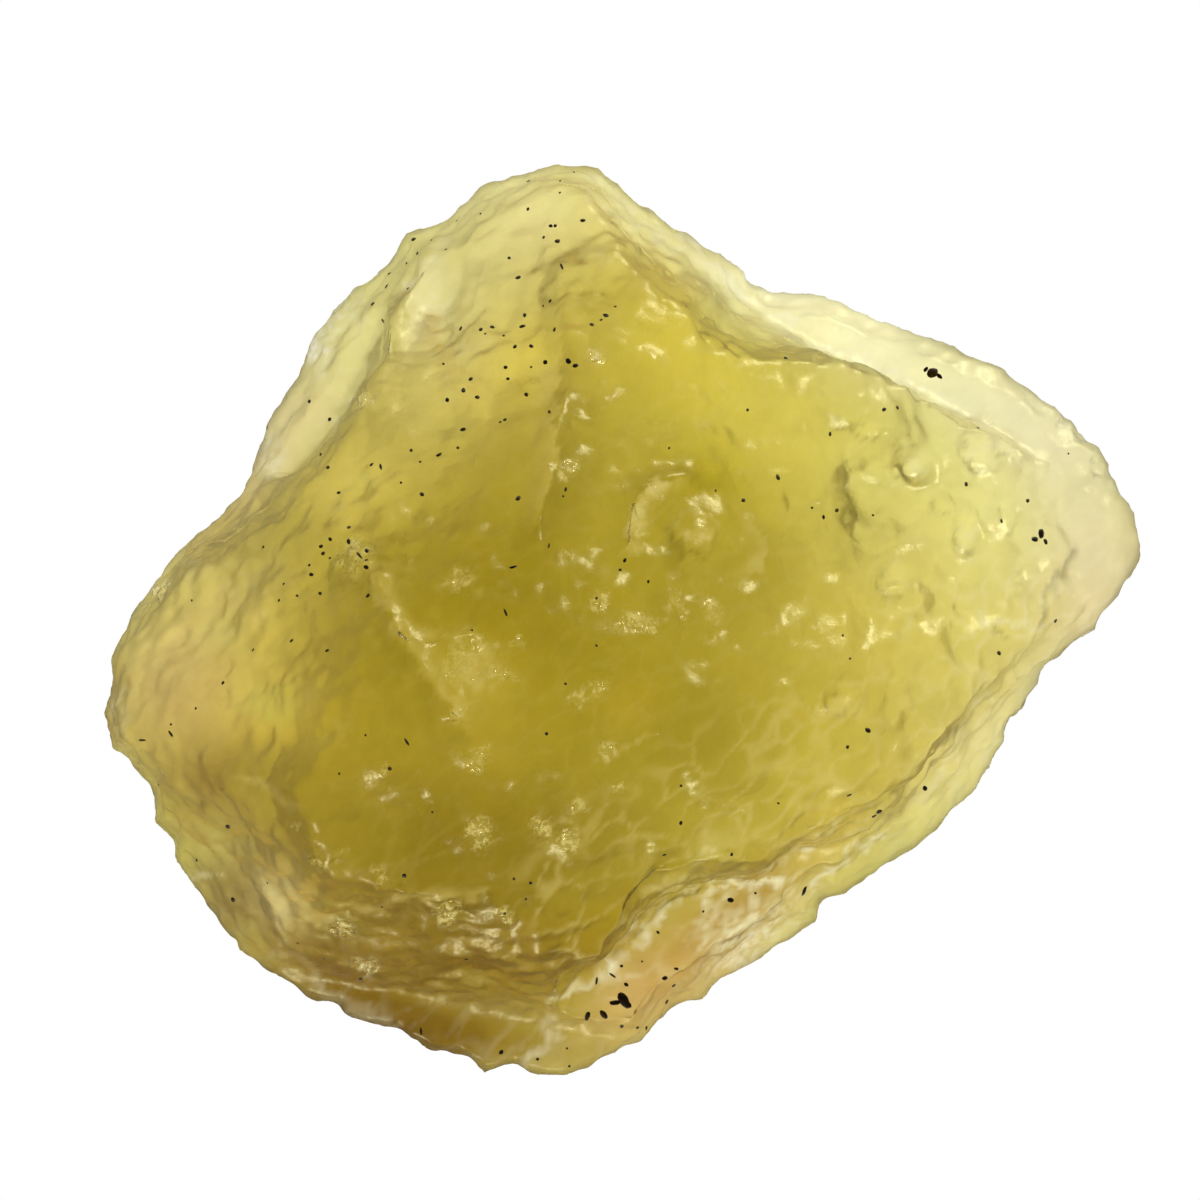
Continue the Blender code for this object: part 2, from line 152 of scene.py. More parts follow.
# Lumps (positive) and hollows (negative) of the upper side: centre, length, width, turn in degrees, height
UPPER_LUMPS = [
    (4.0, 3.6, 2.4, 2.2, 0.0, 0.7),
    (2.6, -0.2, 3.6, 2.4, 40.0, 0.5),
    (5.0, 1.0, 2.2, 1.8, 0.0, 0.4),
    (-6.2, -1.6, 5.6, 4.2, -50.0, -1.3),
    (-14.8, 0.9, 4.2, 3.0, 45.0, 0.6),
    (-18.9, -4.1, 4.0, 3.4, 20.0, 0.5),
    (-13.5, -5.0, 4.4, 3.0, 15.0, -0.6),
    (-9.5, -8.5, 6.0, 3.2, 10.0, -0.5),
    (13.5, 6.6, 2.0, 1.8, 0.0, -0.5),
    (15.9, 3.7, 1.4, 2.2, 0.0, -0.5),
    (17.0, 4.4, 1.2, 1.5, 0.0, -0.4),
    (16.6, 7.3, 1.8, 1.4, 0.0, -0.4),
    (20.5, 8.3, 1.6, 1.4, 0.0, -0.5),
    (-3.0, 13.0, 4.0, 6.0, 15.0, -0.5),
    (-7.2, 13.8, 3.4, 5.2, -10.0, -2.0),
]
LOWER_LUMPS = [
    (12.0, 6.0, 6.0, 4.0, 30.0, 0.6),
    (13.0, -5.0, 5.0, 4.0, -30.0, 0.5),
    (-14.0, 3.0, 5.0, 4.0, 60.0, 0.5),
    (-12.5, -8.0, 5.0, 3.5, 20.0, 0.6),
    (0.5, 14.0, 5.0, 3.5, 0.0, 0.5),
    (2.5, -13.0, 5.0, 3.0, 20.0, 0.5),
]

# Worn relief: size of a scoop, how much longer than wide it is, and its depth
DIMPLES = (5.2, 1.2, 0.34)
SCALLOPS = (1.15, 1.9, 0.22)
PITS = (0.85, 1.2, 0.16)

# A scoop's reach in shares of its size, the wind's direction in degrees, and how far and over what length
# the net of scallops is bent
SCOOP_RADIUS = 0.75
WIND_TURN = 38.0
SCALLOP_WARP = (0.6, 1.5)

# The field of full scallops, by its middle line and its reach to each side, and their share elsewhere
SCALLOP_FIELD = ((1.0, -12.0), (18.5, -1.0), 6.0)
SCALLOPS_ELSEWHERE = 0.25

# The crests between scallops, worn and painted lighter: width in shares of a scallop's, the share kept,
# its swing and over what length
CREST_WIDTH = 0.16
CREST_KEPT = (0.75, 1.1, 2.0)

# Pits fade inward from the rim, over a distance and to a share; broad relief fades towards it in that way
PITTED_RIM = (5.0, 0.25)
CALM_RIM = (3.0, 0.3)

# Unevenness: size of its waves and their depth, and the fading, fineness and number of the finer ones
UNEVENNESS = [(6.0, 0.42), (2.6, 0.26), (1.0, 0.13)]
UNEVEN_STEPS = (0.9, 2.0, 3)

# Oval dishes of the upper side: centre, length, width, turn in degrees and depth;
# their painted shade is below left
DISHES = [
    (13.6, 6.6, 2.0, 1.4, -40.0, 0.22),
    (16.7, 7.3, 2.3, 1.5, -35.0, 0.25),
    (18.0, 7.5, 1.5, 0.9, -40.0, 0.14),
    (16.0, 3.7, 2.0, 1.15, 85.0, 0.24),
    (17.9, 4.6, 1.6, 0.85, 80.0, 0.16),
    (12.9, 1.7, 2.0, 1.5, 50.0, 0.20),
    (17.5, -0.5, 0.8, 0.8, 0.0, 0.12),
    (20.6, 8.9, 0.9, 0.7, 60.0, 0.16),
    (21.4, 8.1, 1.0, 0.7, -60.0, 0.16),
    (22.1, 6.8, 1.1, 0.8, 80.0, 0.16),
    (10.4, -3.2, 1.9, 1.2, 80.0, 0.18),
    (11.7, 8.3, 1.8, 0.9, 0.0, 0.12),
    (14.9, 5.0, 1.2, 1.0, 30.0, -0.14),
    (4.0, 3.6, 2.1, 2.0, 0.0, -0.30),
    (-13.9, 12.0, 1.0, 0.7, 60.0, 0.15),
]
DISH_SHADE = math.radians(225.0)

# The lip round a dish: how far out it is, its width and its share of the depth
DISH_LIP = (1.15, 0.2, 0.3)
# A dish's outline of painted shade: how far out it is, its width, its strength and what its shaded side adds
DISH_SHADED_OUTLINE = (0.95, 0.16, 0.45, 0.55)
# The shortest length that is divided by
LEAST_LENGTH = 0.001

# Lighter lines, worn skin with painted highlights: the line, how far it fades to its left and to its right,
# and its strength
GLOW_LINES = {
    "upper_crest": ([(-0.4, 19.7), (1.6, 17.8), (4.0, 16.1), (6.3, 14.4), (8.5, 12.5), (11.8, 11.4),
                     (14.8, 10.0), (17.1, 8.5), (18.4, 7.1)], 0.25, 0.5, 0.4),
    "upper_crest_inner": ([(1.8, 18.9), (4.5, 16.3), (6.5, 14.4), (8.5, 13.2)], 0.25, 0.4, 0.5),
    "top_arcs": ([(-0.7, 18.7), (0.4, 17.8), (1.8, 17.3), (3.1, 16.2)], 0.25, 0.35, 0.5),
    "spine": ([(-1.9, 10.5), (-1.9, 6.8), (-2.4, 5.1)], 0.1, 1.6, 0.4),
    "facet_step": ([(-8.2, 11.8), (-6.8, 11.7), (-5.0, 12.1)], 0.15, 1.0, 0.3),
    "facet_window_edge": ([(-8.4, 12.4), (-8.4, 14.8), (-7.6, 16.1)], 0.15, 1.6, 0.5),
    "left_step": ([(-8.3, 12.4), (-9.0, 11.0), (-9.9, 10.1), (-11.5, 8.5), (-12.4, 7.2)], 0.9, 0.15, 0.3),
    "hollow_edge": ([(-9.6, 1.8), (-8.4, -0.4), (-7.2, -2.0), (-6.0, -4.0)], 1.0, 0.3, 0.5),
    "hollow_fork": ([(-8.4, -0.4), (-7.2, -0.7), (-5.4, -0.5)], 0.2, 0.35, 0.5),
    "crescent": ([(1.2, 3.3), (1.4, 4.3), (1.7, 5.2), (2.2, 5.8), (2.7, 5.9)], 0.1, 0.8, 0.8),
    "knob_arc": ([(3.2, 4.1), (3.6, 4.5), (4.0, 4.7), (4.6, 4.4), (4.9, 3.8), (4.7, 3.1)], 0.1, 0.4, 0.35),
    "lobe_arc": ([(6.8, 3.9), (7.3, 2.9), (6.5, 1.9)], 0.1, 1.0, 0.35),
    "main_crest": ([(-2.1, -16.6), (-0.8, -16.0), (-0.2, -15.9), (0.8, -15.2), (1.5, -14.5), (2.1, -13.8),
                    (2.7, -13.0), (3.4, -12.3), (4.4, -11.7), (5.3, -11.3), (6.3, -10.9)], 0.4, 0.22, 0.7),
    "crest_2": ([(4.5, -12.5), (5.0, -11.8), (5.6, -11.5), (6.8, -11.7), (7.9, -11.6)], 0.15, 0.3, 0.8),
    "crest_3": ([(9.4, -11.8), (9.8, -11.2), (10.4, -11.1), (11.0, -10.2), (11.6, -9.8), (12.4, -9.7)],
                0.2, 0.3, 0.8),
    "crest_4": ([(3.6, -11.8), (3.5, -11.4), (3.8, -10.8), (4.4, -10.3), (4.8, -10.1)], 0.2, 0.2, 0.6),
    "crest_5": ([(6.9, -11.1), (7.9, -10.5), (8.8, -10.0), (9.4, -9.6), (10.3, -8.6)], 0.25, 0.2, 0.6),
    "crest_6": ([(1.0, -14.1), (1.9, -12.7), (2.5, -12.3), (2.5, -11.8), (3.1, -11.2)], 0.3, 0.2, 0.5),
    "crest_low": ([(-2.1, -16.6), (-2.4, -17.6), (-2.1, -18.5), (-2.8, -19.2), (-3.7, -19.8)], 0.3, 0.4, 0.4),
    "tip_crest": ([(19.3, -0.3), (18.1, -0.3), (16.4, 0.1)], 0.2, 0.25, 0.7),
    "rim_band": ([(-14.2, -14.6), (-13.2, -14.5), (-12.7, -15.2), (-12.0, -16.6), (-10.9, -17.0),
                  (-9.6, -17.4)], 0.4, 0.5, 0.25),
    "rim_band_low": ([(-11.5, -17.4), (-10.2, -17.6), (-8.9, -18.0)], 0.3, 0.4, 0.2),
    "wavy_ridge": ([(-12.6, -13.0), (-11.6, -12.8), (-10.7, -12.4), (-9.7, -12.4), (-8.6, -12.0),
                    (-7.4, -11.7), (-5.9, -11.7), (-4.8, -11.7)], 0.5, 0.15, 0.4),
    "wedge": ([(-14.5, -11.3), (-14.1, -12.1), (-14.0, -13.4)], 0.8, 0.15, 0.7),
    "comma": ([(-14.9, -6.6), (-13.9, -7.0), (-13.0, -7.7)], 0.25, 0.5, 0.5),
    "pale_step": ([(-18.0, -11.5), (-17.4, -11.2), (-16.7, -11.1)], 0.3, 0.2, 0.6),
    "short_line": ([(0.8, -5.5), (1.9, -4.9)], 0.12, 0.12, 0.5),
}

# Darker lines of painted shade, given in the same way
SHADE_LINES = {
    "tip_groove": ([(20.8, 2.9), (20.2, 2.1), (19.7, 1.3), (19.4, 0.6), (19.3, -0.1)], 0.5, 0.15, 0.35),
    "spine_right": ([(-1.8, 10.8), (-1.8, 6.8), (-2.3, 5.1)], 2.4, 0.1, 0.20),
    "crescent_top": ([(1.0, 5.6), (3.2, 6.2), (5.0, 5.6)], 0.7, 0.2, 0.12),
    "knob_left": ([(3.0, 3.9), (3.0, 2.9), (3.4, 2.2)], 0.2, 0.8, 0.15),
    "left_band": ([(-8.6, 16.0), (-8.6, 12.6), (-10.2, 10.4), (-12.0, 8.6)], 0.1, 1.0, 0.12),
    "hollow_shade": ([(-9.8, 1.6), (-8.6, -0.7), (-7.4, -2.3), (-6.2, -4.2)], 0.1, 2.6, 0.12),
    "ridge_shade": ([(-12.5, -13.3), (-8.6, -12.3), (-4.8, -12.0)], 0.1, 1.4, 0.12),
}

# Lighter soft spots, painted pools of light on the worn skin: centre, length,
# width, turn in degrees, strength
GLOW_SPOTS = [
    (-7.3, 13.6, 1.9, 3.0, 0.0, 0.45),
    (-12.0, 13.4, 2.4, 3.6, -35.0, 0.5),
    (-12.8, 12.0, 1.5, 1.3, 0.0, 0.9),
    (-14.6, 7.0, 1.2, 1.6, 0.0, 0.8),
    (-12.4, 11.0, 0.9, 0.9, 0.0, 0.5),
    (6.4, -13.8, 5.0, 2.6, 38.0, 0.7),
    (-14.9, 1.0, 3.4, 2.0, 40.0, 0.5),
    (-20.9, -4.2, 1.2, 2.2, 15.0, 0.6),
    (-18.0, 2.4, 1.6, 1.6, 0.0, 0.4),
    (-12.4, -3.4, 1.6, 1.2, 50.0, 0.4),
    (-10.9, -4.5, 1.0, 1.0, 0.0, 0.35),
    (-11.5, -5.1, 1.0, 0.8, 0.0, 0.4),
    (-13.3, -12.1, 1.6, 1.3, 0.0, 0.5),
    (-5.9, 11.4, 1.0, 0.6, 0.0, 0.5),
    (-6.4, 10.4, 0.6, 0.6, 0.0, 0.4),
    (-0.4, 15.7, 0.9, 0.7, 0.0, 0.35),
    (-10.9, 4.6, 1.2, 0.8, 0.0, 0.4),
    (-6.0, 1.6, 1.2, 0.6, 0.0, 0.6),
    (-5.2, -2.4, 1.6, 2.2, 0.0, 0.8),
    (4.1, 3.7, 0.8, 0.6, 0.0, 0.8),
    (13.6, 6.6, 1.4, 1.0, -40.0, 0.3),
    (16.7, 7.2, 1.8, 1.2, -35.0, 0.3),
    (16.0, 3.7, 0.9, 1.6, 0.0, 0.3),
    (13.0, 1.7, 1.3, 1.5, 0.0, 0.25),
]

# Places where the surface is rough and glitters, with chips and with painted glints: centre and reach
GLITTER_SPOTS = [
    (-10.4, 2.7, 0.6), (-5.9, 1.7, 0.4), (-5.7, -1.9, 0.7), (-4.4, -2.3, 0.35), (-6.0, -3.9, 0.25),
    (-5.2, -5.8, 0.4), (-5.2, -9.0, 0.5), (-2.5, -8.8, 0.35), (-1.3, -9.3, 0.35), (-0.9, -7.8, 0.25),
    (0.8, -7.1, 0.3), (0.2, -5.5, 0.35), (-0.1, -3.0, 0.3), (-0.9, -3.2, 0.25), (-1.5, 6.3, 0.3),
    (-1.3, 2.7, 0.2), (-0.1, 0.8, 0.3), (1.4, 0.0, 0.4), (2.2, -0.4, 0.3), (3.0, 0.8, 0.3),
    (4.7, 0.3, 0.35), (4.6, -0.9, 0.25), (4.1, 3.7, 0.35), (1.7, 4.7, 0.3), (1.6, 3.9, 0.25),
    (2.3, 5.5, 0.3), (-10.3, 9.5, 0.4), (-19.3, 1.3, 0.4), (-11.9, -10.2, 0.3), (-10.9, -9.9, 0.2),
    (-9.2, -10.9, 0.3), (-6.5, -12.5, 0.4), (-11.0, -13.2, 0.4), (-10.1, -15.0, 0.4), (-4.1, -12.6, 0.3),
    (-0.4, 11.3, 0.3), (-12.7, -8.6, 0.2), (-9.0, -6.2, 0.2), (3.6, 0.2, 0.2), (-3.6, -1.0, 0.2),
]
# How far and how strongly the glitter spreads, the size and depth of its relief, and the least share cut
GLITTER_SPREAD = 1.7
GLITTER_STRENGTH = 1.8
GLITTER_RELIEF = (0.42, 0.42)
LEAST_GLITTER = 0.02

# Dark grains: round ones, larger ones and long ones
GRAINS_ROUND = [
    (-14.5, 3.1), (-17.7, 0.8), (-13.5, 1.5), (-13.7, 0.8), (-13.1, -0.9), (-14.8, -1.3), (-16.1, -2.7),
    (-17.3, -3.8), (-18.4, -4.5), (-20.2, -6.3), (-17.6, -10.5), (-14.3, -11.3), (-11.5, 3.4),
    (-10.7, 3.9), (-10.7, 3.3), (-11.9, 3.1), (-11.8, 2.8), (-11.5, 2.6), (-12.4, 2.3), (-12.3, 1.9),
    (-9.9, 2.9), (-9.9, 2.5), (-9.9, 2.2), (-11.9, 1.1), (-9.8, 1.0), (-12.9, 1.0), (-9.8, -4.8),
    (-10.9, -6.4), (-7.1, -8.1), (-8.8, -6.2), (-11.5, -1.3), (-8.3, -10.8), (-3.2, 19.3), (-1.8, 19.2),
    (-1.2, 19.7), (-1.8, 18.6), (-3.2, 17.9), (-2.2, 17.1), (-2.0, 17.1), (-0.8, 17.3), (-2.5, 16.6),
    (-4.0, 15.7), (-7.5, 17.6), (-6.4, 17.6), (-5.3, 17.8), (-8.3, 16.8), (-7.5, 16.7), (-6.8, 16.2),
    (-8.1, 16.1), (-8.6, 15.7), (-9.4, 15.3), (-9.5, 14.7), (-8.5, 14.5), (-10.1, 13.9), (0.6, 13.4),
    (-0.4, 12.6), (0.0, 12.8), (0.2, 13.0), (-2.0, 12.4), (-2.2, 13.7), (-2.5, 13.5), (-3.3, 13.1),
    (-3.4, 12.6), (-4.2, 12.2), (-5.0, 12.3), (-5.2, 12.5), (-6.1, 12.6), (-4.7, 12.6), (-3.7, 11.7),
    (-3.0, 11.7), (-2.4, 11.0), (-1.1, 10.8), (-3.0, 10.8), (-4.1, 10.8), (-5.6, 10.3), (-4.0, 10.3),
    (-5.9, 9.8), (-5.3, 9.5), (-6.6, 9.4), (-6.8, 11.0), (-4.3, 8.4), (-4.1, 8.5), (-2.2, 8.8),
    (-3.2, 9.6), (-6.1, 7.3), (-8.5, 5.8), (-7.7, 6.7), (-8.1, 7.2), (-9.8, 6.6), (-12.1, 7.1),
    (-11.7, 6.5), (-12.9, 9.6), (-12.0, 8.8), (-14.9, 8.5), (-11.2, 5.4), (-3.5, 5.1), (-1.5, 5.5),
    (-1.6, 5.2), (2.9, 7.3), (-2.2, 3.1), (-0.2, 0.9), (2.0, 1.6), (0.8, 2.1), (1.0, 2.5), (-0.2, -1.1),
    (-1.5, -2.7), (-2.3, -4.8), (3.4, -7.1), (3.4, -8.7), (7.6, 6.1), (4.9, 5.5), (6.1, 5.1), (9.9, 8.0),
    (9.1, 4.8), (9.6, 4.4), (11.8, 4.5), (10.7, -1.7), (10.6, -5.5), (7.6, -7.9), (5.7, -12.4),
    (6.8, -12.1), (4.5, -12.9), (7.5, -11.1), (2.5, -13.8), (0.9, -15.3), (1.8, -15.1), (3.2, -16.2),
    (3.3, -15.4), (0.9, -17.9), (1.6, -18.0), (2.0, -18.1), (1.1, -16.1), (-2.8, -19.4), (-1.5, -18.9),
    (-1.4, -19.7), (-4.4, -19.1), (-3.2, -11.9), (-4.1, -12.5), (2.7, -10.1), (5.6, -10.1), (-3.7, -11.0),
    (-3.0, -11.2), (-13.1, -14.0), (-12.0, -14.7), (-12.3, -15.1), (-9.3, -12.2), (-5.8, -14.6),
    (8.0, 11.3), (12.9, 9.2), (16.6, 8.4), (16.0, 5.9), (18.8, 5.2), (17.6, 4.3), (17.4, -1.5),
    (20.0, -0.1), (20.7, 7.3), (10.4, -0.7), (12.3, 9.1), (6.3, 9.0),
]
GRAINS_LARGE = [
    (-16.0, -8.9), (-16.0, -12.2), (-10.5, -15.7), (-1.9, 16.4), (-1.4, 11.0), (-5.9, 8.1), (-6.9, 7.0),
    (-7.6, 5.3), (-3.6, 14.8), (10.2, 4.7), (11.5, -4.8), (14.3, -7.5), (10.7, -7.6),
]
GRAINS_LONG = [
    (-18.4, -4.9, 60.0), (-19.7, -5.2, 60.0), (-19.2, -7.2, 100.0), (-10.2, 2.7, 30.0), (-8.1, -5.1, 50.0),
    (-1.7, 15.2, 70.0), (-9.6, 13.1, 60.0), (-9.4, 6.5, 75.0), (-3.7, 2.2, 60.0), (-4.0, 0.3, 20.0),
    (-0.2, -15.9, 0.0), (-7.9, -18.1, -5.0), (0.5, -15.7, 20.0),
]

# Larger inclusions: centre, width, how much longer than wide, turn in degrees
INCLUSIONS = [
    (1.0, -16.75, 0.46, 1.7, -10.0), (0.6, -16.85, 0.24, 2.2, 5.0), (1.15, -16.95, 0.30, 1.4, 60.0),
    (-0.6, -17.4, 0.22, 2.0, 10.0), (0.1, -17.35, 0.26, 1.8, 15.0), (9.0, -12.1, 0.26, 1.9, 25.0),
    (14.7, 10.9, 0.44, 1.2, 20.0), (15.0, 10.75, 0.20, 1.6, 0.0), (14.4, 11.05, 0.16, 1.8, 30.0),
    (5.7, -12.4, 0.22, 1.4, 30.0), (2.8, -15.8, 0.20, 1.3, 0.0), (2.9, -17.0, 0.20, 1.5, 40.0),
    (12.1, -8.4, 0.24, 1.4, 50.0), (11.9, -8.6, 0.18, 1.3, 10.0),
    (19.4, 3.75, 0.34, 1.3, 30.0), (19.1, 3.5, 0.24, 1.5, 80.0), (19.6, 3.4, 0.20, 1.4, 10.0),
]

# Grains: ranges of their width, of how much longer than wide they are and of their turn in degrees; how flat
# and how lumpy they are; the seed of their luck; and the height from which the surface under them is sought
ROUND_RANGES = [(0.09, 0.19), (1.0, 1.6), (0.0, 180.0)]
LARGE_RANGES = [(0.17, 0.24), (1.1, 1.6), (0.0, 180.0)]
LONG_SHAPE = (0.11, 3.4)
GRAIN_FLATNESS = 2.5
GRAIN_LUMPS = (0.25, 1.3)
GRAIN_SEED = 7
WELL_ABOVE = 100.0

# Ripples are waves laid over each other: their number, the turn from one to the next in radians, how much
# shorter each next one is, their length in patch sizes, how finely, how far along and how much they bend,
# and what their sum is divided by
RIPPLE_WAVES = 5
RIPPLE_TURN = 2.4
RIPPLE_SHORTENING = 0.31
RIPPLE_LENGTH = 2.6
RIPPLE_BEND = (0.61, 1.7, 1.3)
RIPPLE_DAMPING = 3.0

# Ripples that push about what is drawn on the skin: how far, the size of their patches and their phase,
# and what the push along Y adds to the phase
SLIGHT_BEND = [(0.22, 0.9, 0.3), (0.10, 0.35, 1.1)]
STRONG_BEND = [(0.35, 1.0, 5.3), (0.2, 0.4, 6.1)]
GLITTER_BEND = [(0.22, 0.7, 5.3)]
PHASE_ACROSS = 2.0

# Ripples that break up lines and spots: what stays, their swing, the size of their patches and their phase,
# and the least share that a spot keeps
BROKEN_LINES = (0.75, 0.25, 0.8, 4.2)
SPOT_FLECKS = (0.45, 1.2, 0.34, 2.9)
LEAST_FLECK = 0.35

# Slow changes of tone: swing, size of their patches and phase
BROAD_MOTTLE = (0.03, 5.0, 0.7)
FINE_MOTTLE = (0.025, 1.6, 1.9)

# How much each mark wears the stain off the skin and paints highlights on it, frosts it, and lays painted
# shade on it; a negative share of shade paints light
WEAR_AND_HIGHLIGHT = {"crests": 0.36, "lines": 1.0, "spots": 1.1, "glitter": 0.34}
FROST = {"lines": 0.06, "glitter": 0.10}
PAINTED_SHADE = {"hollows": 0.05, "lines": 1.0, "dish_shade_outlines": 0.30, "dish_lit_insides": -0.10}

# Upper side and underside: the upward lean at which they begin, and over what they fade
UPPER_LEAN = (0.1, 0.35)
UNDER_LEAN = (-0.25, 0.35)

# How much light the skin's stain, the worn skin with its painted highlights, the underside and the painted
# glints let through
SKIN_TINT = (0.70, 0.66, 0.22)
WORN_AND_HIGHLIGHT_TINT = (1.0, 0.98, 0.90)
UNDERSIDE_TINT = (0.97, 0.97, 0.92)
GLINT_FLAKE_TINT = (1.0, 0.97, 0.85, 1.0)

# Painted shade: a darker line along the very edge
EDGE_SHADE = 0.28
EDGE_WIDTH = 0.55

# The matt skin round the rim: how far in it is full, over what distance it fades, how much rougher it is,
# and the lean above which only a share of it is left
MATT_RIM = (1.5, 5.0)
MATT_ROUGHNESS = 0.55
MATT_LEAN = 0.2
MATT_ABOVE = 0.12

# Clear glass: how it bends light, how it takes light out on the way through, and the tint of its gloss
GLASS_IOR = 1.46
GLASS_ABSORPTION = (0.775, 0.688, 0.15, 1.0)
GLASS_DENSITY = 160.0
SPECULAR_TINT = (1.0, 0.93, 0.50, 1.0)

# Fine patterns of the surface: scale, detail and roughness of their noise
CLOUDS = (900.0, 5.0, 0.6)
GLINT_FLAKES = (3300.0, 3.0, 0.6)
SKIN_GRAIN = (2600.0, 4.0, 0.65)
CHIPS = (1900.0, 2.0, 0.5)
GRAIN_PATCHES = (700.0, 3.0, 0.5)

# What they do: the brightness of clouds, the noise that turns to painted glints, the roughness of satin
# skin, what glitter leaves of it, how clear frost is, and the depth of chips and grain
CLOUD_RANGE = (0.88, 1.10)
GLINT_FLAKE_RANGE = (0.50, 0.56)
SATIN_RANGE = (0.22, 0.42)
POLISHED = 0.2
FROSTED_CLEARNESS = 0.25
CHIP_DEPTH = 0.6
SKIN_GRAIN_DEPTH = 0.06
SKIN_GRAIN_STRENGTH = 0.5

# Dark grains: where in the noise each colour lies, and the colour
GRAIN_COLOURS = [(0.45, (0.020, 0.013, 0.006, 1.0)), (0.75, (0.16, 0.085, 0.02, 1.0))]
GRAIN_ROUGHNESS = 0.5

# Brightness of the room by the height of a direction, from -1 straight below to 1 straight above
ROOM_LIGHT = [
    (-1.0, 0.97), (-0.985, 0.96), (-0.94, 0.95), (-0.87, 0.91), (-0.77, 0.85), (-0.60, 0.78), (-0.40, 0.74),
    (-0.20, 0.78), (-0.06, 0.85), (0.10, 0.70), (0.35, 0.14), (1.0, 0.08),
]
# Its strength, the side from which it is brighter, and how bright it looks in reflections
ROOM_STRENGTH = 1.25
SIDE_LIGHT = (-0.20, 0.10, 0.0)
REFLECTED_SHARE = 0.15

# Soft lamps: place, size, and power in watts; and the height at which they aim
LAMPS = {"key": ((125.0, 215.0, 75.0), 60.0, 0.42), "low": ((-40.0, -240.0, 85.0), 50.0, 0.34)}
LAMP_AIM = 10.0

# The light table: its size and how far below the lump it lies
TABLE_SIZE = 1200.0
TABLE_GAP = 0.05

# The camera, the middle and height of its view, and how much is seen across it
FOCAL_LENGTH = 150.0
SENSOR_WIDTH = 36.0
VIEW_MIDDLE = (-0.05, 0.82)
VIEW_HEIGHT = 8.0
VIEW_WIDTH = 52.6

# How often light is followed: in all, through glass, off gloss and off matt surfaces
MOST_BOUNCES = 10
GLASS_BOUNCES = 8
GLOSS_BOUNCES = 3
MATT_BOUNCES = 2

